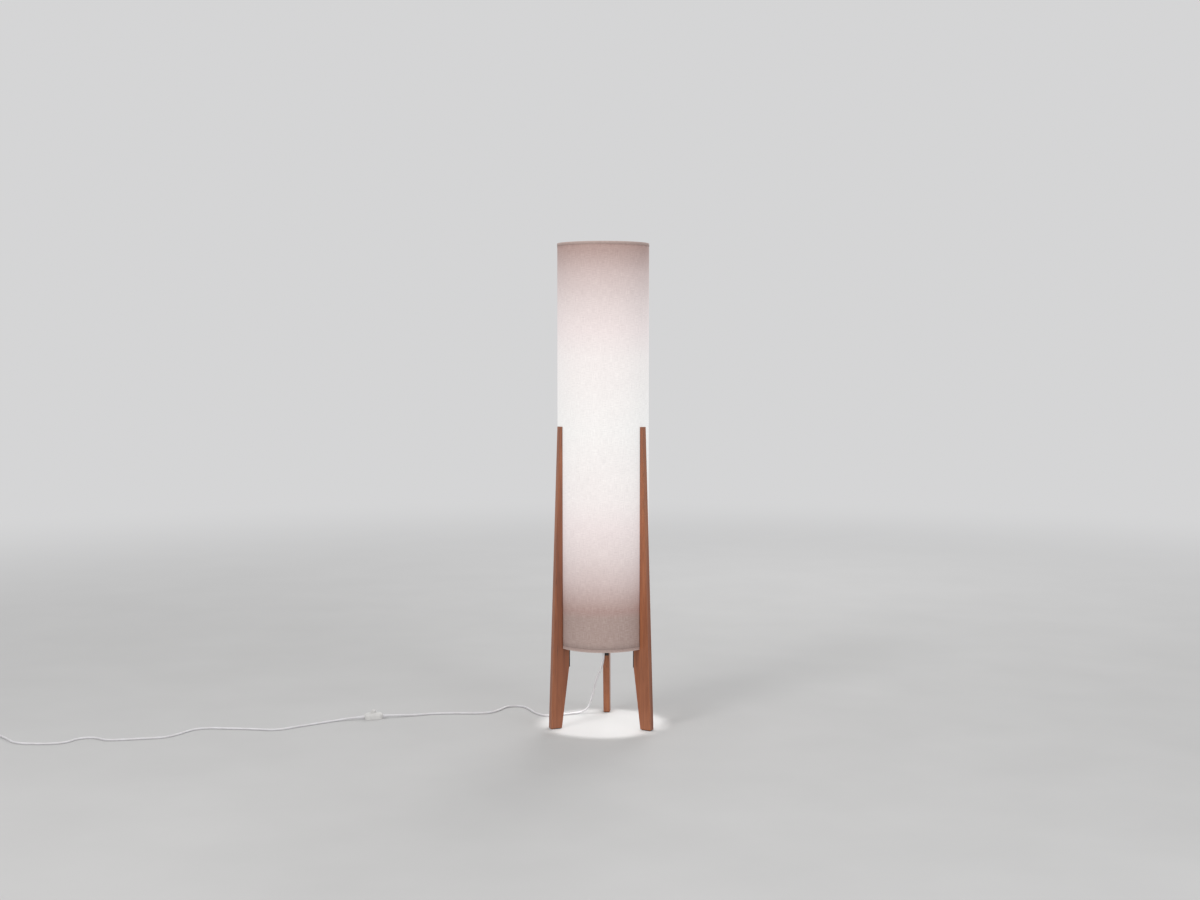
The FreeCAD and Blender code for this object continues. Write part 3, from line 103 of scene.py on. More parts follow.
# Control points of the smooth line that each cord follows.
DROP_ROUTE = [
    (-0.006, 0.096, 0.178),
    (-0.006, 0.096, 0.148),
    (-0.027, 0.099, 0.104),
    (-0.0375, 0.105, 0.058),
    (-0.0486, 0.1072, 0.018),
    (-0.0726, 0.1058, 0.0036),
    (-0.1058, 0.0917, CORD_FLOOR),
    (-0.1393, 0.0666, CORD_FLOOR),
    (-0.1753, 0.0644, CORD_FLOOR),
    (-0.2035, 0.0998, CORD_FLOOR),
    (-0.222, 0.1407, CORD_FLOOR),
    (-0.2465, 0.1803, CORD_FLOOR),
    (-0.2921, 0.1735, CORD_FLOOR),
    (-0.3079, 0.1194, CORD_FLOOR),
    (-0.3289, 0.0861, CORD_FLOOR),
    (-0.3783, 0.076, CORD_FLOOR),
    (-0.4414, 0.0742, CORD_FLOOR),
    (-0.4986, 0.0607, CORD_FLOOR),
    (-0.538, 0.040, CORD_FLOOR),
    (-0.5865, 0.0201, SWITCH_CORD),
    (-0.6235, 0.0063, SWITCH_CORD),
]
RUN_ROUTE = [
    (-0.6657, -0.0095, SWITCH_CORD),
    (-0.7027, -0.0233, SWITCH_CORD),
    (-0.738, -0.038, CORD_FLOOR),
    (-0.778, -0.0726, CORD_FLOOR),
    (-0.8283, -0.1188, CORD_FLOOR),
    (-0.8775, -0.1659, CORD_FLOOR),
    (-0.9402, -0.1557, CORD_FLOOR),
    (-1.0084, -0.1559, CORD_FLOOR),
    (-1.0626, -0.1532, CORD_FLOOR),
    (-1.1036, -0.1717, CORD_FLOOR),
    (-1.1242, -0.2271, CORD_FLOOR),
    (-1.1487, -0.2686, CORD_FLOOR),
    (-1.2019, -0.2839, CORD_FLOOR),
    (-1.2589, -0.3024, CORD_FLOOR),
    (-1.2965, -0.3097, CORD_FLOOR),
    (-1.328, -0.2856, CORD_FLOOR),
    (-1.359, -0.2865, CORD_FLOOR),
    (-1.3798, -0.3078, CORD_FLOOR),
    (-1.387, -0.3373, CORD_FLOOR),
    (-1.4178, -0.3572, CORD_FLOOR),
    (-1.4706, -0.3625, CORD_FLOOR),
    (-1.523, -0.3576, CORD_FLOOR),
    (-1.562, -0.316, CORD_FLOOR),
    (-1.601, -0.280, COIL_LOW),
]
TAIL_ROUTE = [
    (-1.677, -0.280, 0.0103),
    (-1.701, -0.295, 0.0093),
    (-1.712, -0.3215, PLUG_CORD),
    (-1.712, -0.3508, PLUG_CORD),
]


def coil_points():
    """Two turns wound inwards on the floor, a climb of half a turn, and two turns outwards on top."""
    centre = Vector((COIL_ENTRY[0], COIL_ENTRY[1] - COIL_OUTER, 0.0))
    points = []
    for i in range(COIL_TURNS * COIL_STEPS + 1):
        turn = i / COIL_STEPS
        angle = math.pi / 2 + 2 * math.pi * turn
        radius = COIL_OUTER - COIL_PITCH * min(turn, COIL_TURNS - turn)
        climb = min(max((turn - COIL_TURNS / 2) * 2 + 0.5, 0.0), 1.0)
        points.append(tuple(centre + Vector(round_point(radius, angle, COIL_LOW + COIL_PITCH * climb))))
    return points


def cord_curve(name, points, material):
    data = bpy.data.curves.new(name, "CURVE")
    data.dimensions = "3D"
    data.resolution_u = 10
    data.bevel_depth = CORD_RADIUS
    data.bevel_resolution = 5
    data.use_fill_caps = True
    spline = data.splines.new("NURBS")
    spline.points.add(len(points) - 1)
    for target, point in zip(spline.points, points):
        target.co = (*point, 1.0)
    spline.order_u = 3
    spline.use_endpoint_u = True
    data.materials.append(material)
    piece = add_object(name, data)
    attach(piece, "lamp")
    return piece


def make_cords(sheath):
    to_switch = cord_curve("cord_to_switch", DROP_ROUTE, sheath)
    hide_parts("cord_drop")
    to_plug = cord_curve("cord_to_plug", RUN_ROUTE + coil_points() + TAIL_ROUTE, sheath)
    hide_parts("cord_run", "cord_coil", "cord_tail")


# ================================================================ materials
class Shader:
    """Builds one node material round a Principled shader."""

    def __init__(self, name):
        self.material = bpy.data.materials.new(name)
        self.material.use_nodes = True
        self.tree = self.material.node_tree
        self.tree.nodes.clear()
        self.surface = self.add("ShaderNodeBsdfPrincipled")
        self.out = self.add("ShaderNodeOutputMaterial")
        self.tree.links.new(self.surface.outputs["BSDF"], self.out.inputs["Surface"])

    def add(self, kind, settings=None, inputs=None):
        node = self.tree.nodes.new(kind)
        for key, value in (settings or {}).items():
            setattr(node, key, value)
        for key, value in (inputs or {}).items():
            self.put(node.inputs[key], value)
        return node

    def put(self, socket, value):
        if isinstance(value, bpy.types.NodeSocket):
            self.tree.links.new(value, socket)
        else:
            socket.default_value = value

    def set(self, **inputs):
        """Inputs of the Principled shader, with underscores for spaces."""
        for key, value in inputs.items():
            self.put(self.surface.inputs[key.replace("_", " ")], value)

    def axes(self):
        """Outputs X, Y and Z of the object coordinates."""
        coords = self.add("ShaderNodeTexCoord")
        return self.add("ShaderNodeSeparateXYZ", None, {"Vector": coords.outputs["Object"]}).outputs

    def place(self, scale, turn=0.0, shift=(0.0, 0.0, 0.0)):
        """Object coordinates, turned about Z by degrees, scaled and shifted."""
        coords = self.add("ShaderNodeTexCoord")
        turned = self.add("ShaderNodeMapping", None, {"Vector": coords.outputs["Object"],
                                                      "Rotation": (0.0, 0.0, math.radians(turn))})
        return self.add("ShaderNodeMapping", None, {"Vector": turned.outputs["Vector"], "Scale": scale,
                                                    "Location": shift}).outputs["Vector"]

    def noise(self, vector, detail, roughness=0.5, distortion=0.0):
        """Noise of one cell per unit of the vector."""
        return self.add("ShaderNodeTexNoise", None, {"Vector": vector, "Scale": 1.0, "Detail": detail,
                                                     "Roughness": roughness,
                                                     "Distortion": distortion}).outputs["Fac"]

    def even_noise(self, scale, detail, roughness=0.5):
        """Noise with as many cells in a metre in every direction."""
        return self.noise(self.place((scale, scale, scale)), detail, roughness)

    def math(self, operation, a, b=0.0):
        node = self.add("ShaderNodeMath", {"operation": operation})
        self.put(node.inputs[0], a)
        self.put(node.inputs[1], b)
        return node.outputs["Value"]

    def total(self, a, a_weight, b, b_weight):
        """The sum of two values, each times its weight."""
        return self.math("ADD", self.math("MULTIPLY", a, a_weight), self.math("MULTIPLY", b, b_weight))

    def span(self, value, low, high, to_low=0.0, to_high=1.0):
        """The value, which goes from low to high, brought to the other span and kept inside it."""
        return self.add("ShaderNodeMapRange", None, {"Value": value, "From Min": low, "From Max": high,
                                                     "To Min": to_low, "To Max": to_high}).outputs["Result"]

    def ramp(self, fac, *stops):
        node = self.add("ShaderNodeValToRGB", None, {"Fac": fac})
        elements = node.color_ramp.elements
        while len(elements) < len(stops):
            elements.new(0.5)
        for element, (at, colour) in zip(elements, stops):
            element.position = at
            element.color = (*colour, 1.0)
        return node.outputs["Color"]

    def mix(self, fac, a, b):
        node = self.add("ShaderNodeMix", {"data_type": "RGBA"})
        self.put(node.inputs["Factor"], fac)
        for socket, value in zip([s for s in node.inputs if s.type == "RGBA"], (a, b)):
            self.put(socket, value if isinstance(value, bpy.types.NodeSocket) else (*value, 1.0))
        return [s for s in node.outputs if s.type == "RGBA"][0]

    def bump(self, height, distance, strength):
        return self.add("ShaderNodeBump", None, {"Height": height, "Distance": distance,
                                                 "Strength": strength}).outputs["Normal"]


def srgb(red, green, blue):
    """Linear colour of a display colour given from 0 to 255."""
    def linear(value):
        c = value / 255.0
        return c / 12.92 if c <= 0.04045 else ((c + 0.055) / 1.055) ** 2.4
    return linear(red), linear(green), linear(blue)


# ---------------------------------------------------------------- the shade, lit from inside
GLOW_RISE = 0.010            # height of the glow's middle over the bulb's
# Linear colours of the glow, from its middle (0) to its reach above and below (1).
COVER_REACH = 0.51
COVER_GLOW = (
    (0.0, (0.515, 0.595, 0.608)),
    (0.375, (0.495, 0.54, 0.555)),
    (0.52, (0.45, 0.46, 0.48)),
    (0.667, (0.356, 0.36, 0.375)),
    (0.814, (0.225, 0.21, 0.22)),
    (0.96, (0.03, 0.0, 0.0)),
    (1.0, (0.0, 0.0, 0.0)),
)
LINER_REACH = 0.62
LINER_GLOW = (
    (0.0, (0.36, 0.35, 0.33)),
    (0.45, (0.28, 0.268, 0.25)),
    (1.0, (0.02, 0.018, 0.016)),
)
# The tape's glow, which starts and is full at these distances from the rim.
RIM_START = 0.0045
RIM_FULL = 0.0005
RIM_GLOW = ((0.0, (0.0, 0.0, 0.0)), (1.0, (0.10, 0.088, 0.082)))

# Cells of noise in a metre round the shade and up it.
WEFT_SCALE = (62.0, 760.0)
WARP_SCALE = (760.0, 40.0)
CLOUD_SCALE = (9.0, 14.0)
LINER_SCALE = (90.0, 60.0)
FUZZ_SCALE = (160.0, 600.0)
FIBRE_LOW, FIBRE_HIGH = 0.34, 0.66       # the noise of the yarns lies between these
WEAVE_PERIOD = 0.0014                    # two yarns
TWILL_WAVE = (4200.0, 5200.0)            # radians in a metre round the shade and up it


def wrap_coords(s, radius):
    """(arc length round the shade, height) as separate values."""
    axes = s.axes()
    return s.math("MULTIPLY", s.math("ARCTAN2", axes["X"], axes["Y"]), radius), axes["Z"]


def wrap_noise(s, u, v, scale, detail, roughness=0.5, layer=0.0):
    """Noise on the unrolled shade; each layer has a pattern of its own."""
    at = s.add("ShaderNodeCombineXYZ", None, {"X": s.math("MULTIPLY", u, scale[0]),
                                              "Y": s.math("MULTIPLY", v, scale[1]), "Z": layer})
    return s.noise(at.outputs["Vector"], detail, roughness)


def bulb_distance(s, height, reach):
    """0 at the glow's middle and 1 at its reach above and below."""
    away = s.math("ABSOLUTE", s.math("SUBTRACT", height, BULB_HEIGHT + GLOW_RISE))
    return s.span(away, 0.0, reach)


def scaled(s, colour, factor):
    """The colour times a value."""
    node = s.add("ShaderNodeVectorMath", {"operation": "SCALE"}, {0: colour, "Scale": factor})
    return node.outputs["Vector"]


def linen_material():
    """Plain-weave linen with yarns of uneven thickness in both directions."""
    s = Shader("linen")
    u, v = wrap_coords(s, SHADE_RADIUS)
    weft = wrap_noise(s, u, v, WEFT_SCALE, 3.0, 0.65)
    warp = wrap_noise(s, u, v, WARP_SCALE, 3.0, 0.65, layer=7.0)
    cloud = wrap_noise(s, u, v, CLOUD_SCALE, 3.0, layer=3.0)
    yarns = s.total(weft, 0.56, warp, 0.44)
    fibre = s.total(yarns, 0.93, cloud, 0.07)
    colour = s.ramp(fibre, (FIBRE_LOW, srgb(159, 135, 128)), (0.50, srgb(177, 155, 148)),
                    (FIBRE_HIGH, srgb(193, 174, 167)))
    wave = 2 * math.pi / WEAVE_PERIOD
    over = s.math("MULTIPLY", s.math("SINE", s.math("MULTIPLY", u, wave)),
                  s.math("SINE", s.math("MULTIPLY", v, wave)))
    relief = s.total(over, 0.25, yarns, 1.6)
    light = scaled(s, s.ramp(bulb_distance(s, v, COVER_REACH), *COVER_GLOW),
                   s.span(fibre, FIBRE_LOW, FIBRE_HIGH, 0.955, 1.03))
    s.set(Base_Color=colour, Roughness=0.92, Sheen_Weight=0.12, Sheen_Roughness=0.5,
          Normal=s.bump(relief, 0.00018, 0.55), Emission_Color=light, Emission_Strength=1.0)
    return s.material


def liner_material():
    """White card with faint marks."""
    s = Shader("shade_liner")
    u, v = wrap_coords(s, LINER_RADIUS)
    marks = wrap_noise(s, u, v, LINER_SCALE, 5.0, 0.6)
    s.set(Base_Color=s.ramp(marks, (0.3, srgb(220, 214, 208)), (0.7, srgb(226, 221, 215))),
          Roughness=s.span(marks, 0.3, 0.7, 0.5, 0.62), Normal=s.bump(marks, 0.0002, 0.3),
          Emission_Color=s.ramp(bulb_distance(s, v, LINER_REACH), *LINER_GLOW), Emission_Strength=1.0)
    return s.material


def tape_material():
    """Close twill of the tape that is folded over the shade's rims; the fold glows."""
    s = Shader("edge_tape")
    u, v = wrap_coords(s, SHADE_RADIUS)
    twill = s.math("SINE", s.total(u, TWILL_WAVE[0], v, TWILL_WAVE[1]))
    fuzz = wrap_noise(s, u, v, FUZZ_SCALE, 4.0)
    middle = (SHADE_LOW.z + SHADE_HIGH.z) / 2
    half = (SHADE_HIGH.z - SHADE_LOW.z) / 2
    out = s.math("ABSOLUTE", s.math("SUBTRACT", v, middle))
    light = s.ramp(s.span(out, half - RIM_START, half - RIM_FULL), *RIM_GLOW)
    s.set(Base_Color=s.ramp(fuzz, (0.3, srgb(162, 139, 132)), (0.7, srgb(184, 162, 155))), Roughness=0.85,
          Sheen_Weight=0.1, Emission_Color=light, Emission_Strength=1.0,
          Normal=s.bump(s.math("ADD", s.math("MULTIPLY", twill, 0.4), fuzz), 0.00015, 0.5))
    return s.material


# ---------------------------------------------------------------- wood
# Cells of noise in a metre along the leg's two sides and its grain.
FIGURE_SCALE = (17.0, 26.0, 1.15)
GRAIN_SCALE = (260.0, 330.0, 5.5)
PORE_SCALE = (520.0, 680.0, 16.0)
LEG_SHIFT = 3.7              # from one leg's pattern to the next one's


def wood_material(name, angle, shift):
    """Stained hardwood with its grain along the leg and a satin lacquer."""
    s = Shader(name)
    figure = s.noise(s.place(FIGURE_SCALE, -angle, (shift, 2.0 * shift, shift)), 5.0, 0.55, 0.35)
    fibre = s.noise(s.place(GRAIN_SCALE, -angle, (shift, 0.0, 0.0)), 4.0, 0.6)
    pores = s.noise(s.place(PORE_SCALE, -angle, (0.0, shift, 0.0)), 2.0)
    pore = s.span(pores, 0.60, 0.70)
    tone = s.total(figure, 0.72, fibre, 0.28)
    colour = s.ramp(tone, (0.30, srgb(104, 55, 34)), (0.45, srgb(137, 78, 48)), (0.56, srgb(161, 97, 62)),
                    (0.72, srgb(184, 119, 80)))
    colour = s.mix(s.math("MULTIPLY", pore, 0.55), colour, srgb(84, 44, 30))
    height = s.math("SUBTRACT", s.math("MULTIPLY", fibre, 0.5), pore)
    s.set(Base_Color=colour, Roughness=s.span(fibre, 0.3, 0.7, 0.36, 0.50), Coat_Weight=0.18,
          Coat_Roughness=0.30, Normal=s.bump(height, 0.00012, 0.45))
    return s.material


# ---------------------------------------------------------------- metals, plastics and the small parts
# Colours are display colours.  A stretch multiplies the cells of a metal's pattern along X, Y and Z.
METALS = {
    "black_screw": dict(dark=(52, 50, 50), light=(92, 90, 90), roughness=0.38),
    "zinc": dict(dark=(176, 178, 182), light=(214, 216, 220), roughness=0.3),
    "brass": dict(dark=(178, 142, 76), light=(214, 180, 108), roughness=0.26),
    "aluminium": dict(dark=(184, 186, 190), light=(222, 224, 228), roughness=0.3, stretch=(0.2, 0.2, 3.0)),
    "spring_steel": dict(dark=(150, 152, 158), light=(200, 202, 208), roughness=0.25),
    "nickel": dict(dark=(190, 186, 178), light=(226, 222, 214), roughness=0.18),
}
PLASTICS = {
    "foot_felt": dict(dark=(46, 42, 40), light=(66, 61, 57), roughness=0.92, grain=700.0, depth=0.0004),
    "holder_plastic": dict(dark=(24, 24, 25), light=(40, 39, 40), roughness=0.46, grain=1100.0),
    "ceramic_white": dict(dark=(206, 203, 194), light=(222, 219, 211), roughness=0.6, grain=900.0,
                          depth=0.0001),
    "bulb_white": dict(dark=(214, 213, 210), light=(226, 225, 222), roughness=0.32, grain=1200.0, coat=0.2),
    "black_insulator": dict(dark=(18, 18, 20), light=(30, 30, 33), roughness=0.25),
    "white_pvc": dict(dark=(214, 212, 214), light=(226, 225, 228), roughness=0.38, grain=520.0,
                      depth=0.00006, coat=0.08),
    "switch_white": dict(dark=(208, 207, 205), light=(222, 221, 219), roughness=0.36, grain=1500.0,
                         depth=0.00005, coat=0.12),
    "sleeve_black": dict(dark=(24, 24, 26), light=(38, 38, 41), roughness=0.42),
}
METAL_SCALE = 240.0          # cells of a metal's pattern in a metre


def metal(name, dark, light, roughness, stretch=(1.0, 1.0, 1.0)):
    s = Shader(name)
    lines = s.noise(s.place(tuple(METAL_SCALE * b for b in stretch)), 4.0, 0.6)
    stain = s.even_noise(85.0, 4.0)
    both = s.total(lines, 0.5, stain, 0.5)
    s.set(Base_Color=s.ramp(both, (0.32, srgb(*dark)), (0.68, srgb(*light))), Metallic=1.0,
          Roughness=s.span(both, 0.3, 0.7, roughness - 0.06, roughness + 0.12),
          Normal=s.bump(lines, 0.00003, 0.4))
    return s.material


def plastic(name, dark, light, roughness, grain=1400.0, depth=0.00004, coat=0.0):
    """Moulded plastic: a fine spark texture, and a slight unevenness of tone and gloss."""
    s = Shader(name)
    spark = s.even_noise(grain, 2.0)
    flow = s.even_noise(38.0, 4.0, 0.55)
    s.set(Base_Color=s.ramp(flow, (0.3, srgb(*dark)), (0.7, srgb(*light))),
          Roughness=s.span(flow, 0.3, 0.7, roughness - 0.04, roughness + 0.07),
          Normal=s.bump(spark, depth, 0.5), Coat_Weight=coat)
    return s.material


def powder_coat_material():
    """Black powder coat with a fine orange peel and a little dust."""
    s = Shader("black_steel")
    peel = s.even_noise(900.0, 3.0)
    dust = s.even_noise(60.0, 6.0, 0.65)
    s.set(Base_Color=s.ramp(dust, (0.35, srgb(22, 21, 22)), (0.75, srgb(52, 50, 50))),
          Roughness=s.span(dust, 0.3, 0.7, 0.36, 0.52), Normal=s.bump(peel, 0.00008, 0.35))
    return s.material


def opal_material():
    """Diffuser of the bulb, lit evenly from inside."""
    s = Shader("opal")
    haze = s.even_noise(70.0, 3.0)
    light = s.ramp(haze, (0.3, (0.86, 0.80, 0.70)), (0.7, (0.93, 0.88, 0.79)))
    s.set(Base_Color=s.ramp(haze, (0.3, srgb(120, 116, 108)), (0.7, srgb(132, 128, 120))), Roughness=0.35,
          Emission_Color=light, Emission_Strength=0.8)
    return s.material


def conductor_material():
    """Insulated wires: brown on the -X side of the lamp's axis and blue on its +X side."""
    s = Shader("conductors")
    side = s.math("GREATER_THAN", s.axes()["X"], 0.0)
    haze = s.even_noise(400.0, 2.0)
    colour = s.mix(side, srgb(98, 58, 34), srgb(44, 92, 158))
    s.set(Base_Color=s.mix(s.math("MULTIPLY", haze, 0.25), colour, srgb(30, 24, 22)), Roughness=0.4,
          Normal=s.bump(haze, 0.00003, 0.4))
    return s.material


def make_materials():
    made = {
        "linen": linen_material(),
        "liner_white": liner_material(),
        "edge_tape": tape_material(),
        "black_steel": powder_coat_material(),
        "opal": opal_material(),
        "wire": conductor_material(),
    }
    for name, look in METALS.items():
        made[name] = metal(name, **look)
    for name, look in PLASTICS.items():
        made[name] = plastic(name, **look)
    for number, (side, angle) in enumerate(LEG_ANGLES.items()):
        made[f"walnut_{side}"] = wood_material(f"walnut_{side}", angle, LEG_SHIFT * (number + 1))
    return made


def dress_nodes(materials):
    """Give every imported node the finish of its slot; each leg has a wood of its own."""
    slots = {row["node"]: row["material_slot"] for row in frame["record"]["subparts"]}
    for name, node in frame["nodes"].items():
        slot = slots[name]
        if slot == "walnut":
            slot = "walnut_" + name.rsplit("_", 1)[1]
        node.data.materials.clear()
        node.data.materials.append(materials[slot])


# ================================================================ shade
ROUND_STEPS = 288            # faces in a turn
SEAM_ANGLE = 118.0           # degrees from +X: at the back, beside the back leg
SEAM_LAP = 0.012
FABRIC_WALL = 0.0006
FABRIC_ROWS = 44
FABRIC_INSET = 0.0002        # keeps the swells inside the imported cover
SWELLS = ((0.00010, 3, 5.0), (0.00008, 7, -9.0))     # height, waves in a turn, radians in a metre of height
LAP_STEPS = 6                # faces in the lap
LAP_TUCK = 0.00012           # gap under the lap
LAP_RISE = 5.0               # the lap has its full height from 1 / LAP_RISE of its width on
LINER_INSET = 0.0001
TAPE_WALL = 0.0004
TAPE_FOLD = 0.0007           # radius of the tape's folded edges
TAPE_INSIDE = 0.006          # how far the tape reaches inside the shade
TAPE_EDGE_IN = 0.0001        # bevel of the tape's free outer edge, towards the axis
TAPE_EDGE_UP = 0.0004        # and along the shade
TAPE_RIPPLE = 0.00005
TAPE_RIPPLES = 23            # in a turn
TAPE_STEP = 0.35             # degrees over which the tape's own lap rises


def new_piece(name, mesh, material):
    mesh.materials.append(material)
    for face in mesh.polygons:
        face.use_smooth = True
    piece = add_object(name, mesh)
    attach(piece, "lamp")
    return piece


def closed_mesh(name, bm):
    """Mesh of a closed shape with its faces turned outwards."""
    bmesh.ops.recalc_face_normals(bm, faces=bm.faces)
    mesh = bpy.data.meshes.new(name)
    bm.to_mesh(mesh)
    bm.free()
    return mesh


def lathe(name, profile, wobble=None):
    """Mesh of a closed (radius, height) profile turned about Z; wobble(angle) moves its points outwards."""
    bm = bmesh.new()
    rings = []
    for i in range(ROUND_STEPS):
        angle = 2 * math.pi * i / ROUND_STEPS
        out = wobble(angle) if wobble else 0.0
        rings.append([bm.verts.new(round_point(radius + out, angle, height)) for radius, height in profile])
    for a, b in zip(rings, rings[1:] + rings[:1]):
        for j in range(len(profile)):
            k = (j + 1) % len(profile)
            bm.faces.new((a[j], b[j], b[k], a[k]))
    return closed_mesh(name, bm)


def make_fabric(material):
    """The linen sheet: one layer round the liner whose end laps over its start."""
    low = SHADE_LOW.z
    high = SHADE_HIGH.z
    lap = SEAM_LAP / SHADE_RADIUS
    start = math.radians(SEAM_ANGLE)
    steps = ROUND_STEPS + LAP_STEPS
    bm = bmesh.new()
    columns = []
    for i in range(steps + 1):
        angle = start + (2 * math.pi + lap) * (i / steps)
        over = max(0.0, (angle - start - 2 * math.pi) / lap)
        lift = FABRIC_WALL * min(1.0, over * LAP_RISE) + (LAP_TUCK if over > 0.0 else 0.0)
        column = []
        for j in range(FABRIC_ROWS + 1):
            z = low + (high - low) * j / FABRIC_ROWS
            swell = sum(height * math.sin(waves * angle + slant * z) for height, waves, slant in SWELLS)
            r = SHADE_RADIUS + lift - FABRIC_INSET + swell
            column.append((bm.verts.new(round_point(r, angle, z)),
                           bm.verts.new(round_point(r - FABRIC_WALL, angle, z))))
        columns.append(column)
    for a, b in zip(columns, columns[1:]):
        for j in range(FABRIC_ROWS):
            bm.faces.new((a[j][0], b[j][0], b[j + 1][0], a[j + 1][0]))
            bm.faces.new((a[j][1], a[j + 1][1], b[j + 1][1], b[j][1]))
        for j in (0, FABRIC_ROWS):
            bm.faces.new((a[j][0], a[j][1], b[j][1], b[j][0]))
    for column in (columns[0], columns[-1]):
        for j in range(FABRIC_ROWS):
            bm.faces.new((column[j][0], column[j + 1][0], column[j + 1][1], column[j][1]))
    piece = new_piece("shade_cover", closed_mesh("shade_cover", bm), material)
    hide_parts("shade_fabric")


def make_liner(material):
    outer = LINER_RADIUS - LINER_INSET
    inner = outer - LINER_WALL
    profile = [(outer, SHADE_LOW.z), (outer, SHADE_HIGH.z), (inner, SHADE_HIGH.z), (inner, SHADE_LOW.z)]
    piece = new_piece("shade_lining", lathe("shade_lining", profile), material)
    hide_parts("shade_liner")


def tape_wobble(angle):
    """A faint ripple, and the step where the tape laps at the seam."""
    ripple = TAPE_RIPPLE * math.sin(TAPE_RIPPLES * angle)
    away = (math.degrees(angle) - SEAM_ANGLE) % 360.0
    if away < math.degrees(SEAM_LAP / SHADE_RADIUS):
        return ripple + TAPE_WALL * min(1.0, away / TAPE_STEP + 0.1)
    return ripple


def make_tape(name, node, rim, inward, material):
    """Tape folded over a rim; inward is the way from the rim to the shade's middle, -1 or 1."""
    low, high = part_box(node)
    outer = high.x
    inner = LINER_RADIUS - LINER_WALL - TAPE_WALL
    deep = high.z - low.z
    rows = [
        (SHADE_RADIUS, deep),
        (outer - TAPE_EDGE_IN, deep),
        (outer, deep - TAPE_EDGE_UP),
        (outer, TAPE_FOLD),
        (outer - 0.25 * TAPE_FOLD, 0.3 * TAPE_FOLD),
        (outer - TAPE_FOLD, 0.02 * TAPE_FOLD),
        (inner + TAPE_FOLD, 0.02 * TAPE_FOLD),
        (inner + 0.25 * TAPE_FOLD, 0.3 * TAPE_FOLD),
        (inner, TAPE_FOLD),
        (inner, TAPE_INSIDE),
        (inner + TAPE_WALL, TAPE_INSIDE),
        (inner + TAPE_WALL, TAPE_WALL),
        (SHADE_RADIUS, TAPE_WALL),
    ]
    profile = [(radius, rim + inward * depth) for radius, depth in rows]
    piece = new_piece(name, lathe(name, profile, tape_wobble), material)
    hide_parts(node)


# ================================================================ studio
BACKGROUND = (0.665, 0.665, 0.67)
FLOOR_RADIUS = 40.0
FADE_START = 0.9             # distances from the lamp between which the floor fades into the background
FADE_END = 6.5
WORLD_LIGHT = 0.6
# name, place, point it is aimed at, size, watts, colour
AREA_LIGHTS = (
    ("key", (-2.2, -3.4, 2.9), (0.0, 0.0, 0.65), 1.8, 66.0, (1.0, 0.99, 0.98)),
    ("fill", (2.9, -3.0, 1.9), (0.0, 0.0, 0.7), 2.6, 38.0, (0.98, 0.99, 1.0)),
    ("back", (0.8, 3.4, 2.8), (0.0, 0.0, 0.65), 2.2, 44.0, (1.0, 1.0, 1.0)),
)
BULB_WATTS = 12.5
BULB_COLOUR = (1.0, 0.985, 0.985)
BULB_ANGLE = 70.0            # degrees: wider than the shade's mouth, which bounds the pool on the floor
BULB_DROP = 0.08             # from the globe's lowest point down to its light


def background_ray(tree):
    """1 for a ray that shows the background: the camera's, a mirrored one or one through glass."""
    path = tree.nodes.new("ShaderNodeLightPath")
    seen = path.outputs["Is Camera Ray"]
    for kind in ("Is Glossy Ray", "Is Transmission Ray"):
        either = tree.nodes.new("ShaderNodeMath")
        either.operation = "MAXIMUM"
        tree.links.new(seen, either.inputs[0])
        tree.links.new(path.outputs[kind], either.inputs[1])
        seen = either.outputs["Value"]
    return seen


def mixed_shader(tree, fac, first, second):
    """Output that goes from the first shader to the second as fac goes from 0 to 1."""
    blend = tree.nodes.new("ShaderNodeMixShader")
    for socket, value in zip(blend.inputs, (fac, first, second)):
        tree.links.new(value, socket)
    return blend.outputs["Shader"]


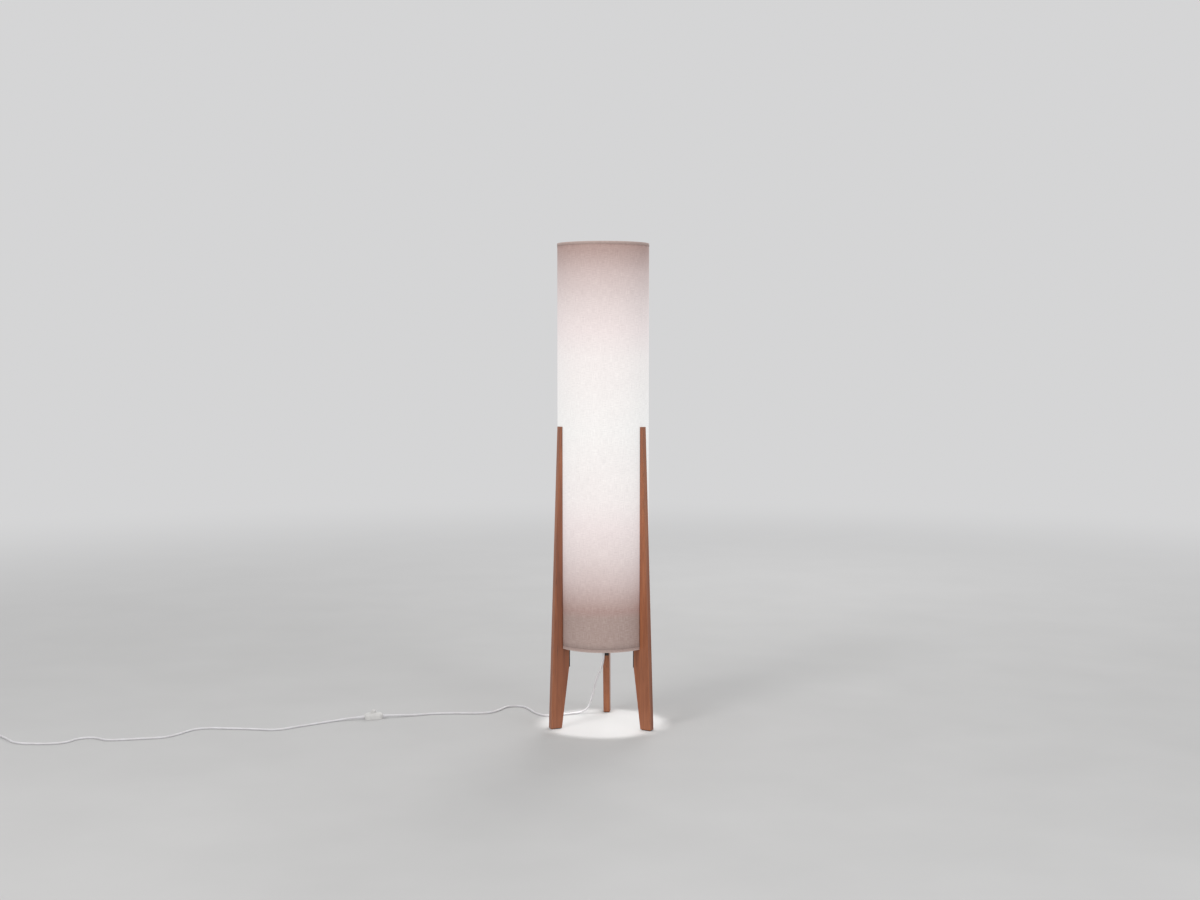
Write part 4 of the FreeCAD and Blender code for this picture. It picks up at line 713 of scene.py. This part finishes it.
def make_floor():
    """A wide pale floor that fades into the background far from the lamp."""
    s = Shader("studio_floor")
    coords = s.add("ShaderNodeTexCoord")
    away = s.add("ShaderNodeVectorMath", {"operation": "LENGTH"}, {"Vector": coords.outputs["Object"]})
    far = s.add("ShaderNodeMapRange", {"interpolation_type": "SMOOTHSTEP"},
                {"Value": away.outputs["Value"], "From Min": FADE_START, "From Max": FADE_END})
    haze = s.even_noise(3.0, 3.0)
    s.set(Base_Color=s.ramp(haze, (0.3, (0.56, 0.558, 0.556)), (0.7, (0.585, 0.583, 0.581))), Roughness=0.75,
          Specular_IOR_Level=0.25)
    glow = s.add("ShaderNodeEmission", None, {"Color": (*BACKGROUND, 1.0), "Strength": 1.0})
    fade = s.math("MULTIPLY", far.outputs["Result"], background_ray(s.tree))
    s.put(s.out.inputs["Surface"],
          mixed_shader(s.tree, fade, s.surface.outputs["BSDF"], glow.outputs["Emission"]))
    bm = bmesh.new()
    bmesh.ops.create_circle(bm, cap_ends=True, segments=96, radius=FLOOR_RADIUS)
    mesh = bpy.data.meshes.new("studio_floor")
    bm.to_mesh(mesh)
    bm.free()
    mesh.materials.append(s.material)
    add_object("studio_floor", mesh)


def make_lights():
    for name, at, aim, size, watts, colour in AREA_LIGHTS:
        data = bpy.data.lights.new(name, "AREA")
        data.shape = "DISK"
        data.size = size
        data.energy = watts
        data.color = colour
        light = add_object(name, data)
        light.location = at
        light.rotation_euler = (Vector(aim) - Vector(at)).to_track_quat("-Z", "Y").to_euler()
    data = bpy.data.lights.new("bulb_light", "SPOT")
    data.energy = BULB_WATTS
    data.shadow_soft_size = 0.05
    data.spot_size = math.radians(BULB_ANGLE)
    data.spot_blend = 0.8
    data.color = BULB_COLOUR
    bulb = add_object("bulb_light", data)
    bulb.location = (0.0, 0.0, GLOBE_LOW.z - BULB_DROP)
    bulb.visible_camera = False


def make_world():
    """Even light from all sides, and the background for the rays that show it."""
    world = bpy.data.worlds.new("studio")
    bpy.context.scene.world = world
    world.use_nodes = True
    tree = world.node_tree
    tree.nodes.clear()
    shaders = []
    for colour, strength in (((1.0, 1.0, 1.0), WORLD_LIGHT), (BACKGROUND, 1.0)):
        node = tree.nodes.new("ShaderNodeBackground")
        node.inputs["Color"].default_value = (*colour, 1.0)
        node.inputs["Strength"].default_value = strength
        shaders.append(node.outputs["Background"])
    out = tree.nodes.new("ShaderNodeOutputWorld")
    tree.links.new(mixed_shader(tree, background_ray(tree), *shaders), out.inputs["Surface"])


# ================================================================ the whole
def main():
    make_camera()
    materials = make_materials()
    make_cords(materials["white_pvc"])
    dress_nodes(materials)
    make_fabric(materials["linen"])
    make_liner(materials["liner_white"])
    make_tape("top_tape", "top_binding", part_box("top_binding")[1].z, -1.0, materials["edge_tape"])
    make_tape("bottom_tape", "bottom_binding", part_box("bottom_binding")[0].z, 1.0, materials["edge_tape"])
    make_floor()
    make_lights()
    make_world()
    bpy.context.scene.view_settings.view_transform = "Standard"


main()
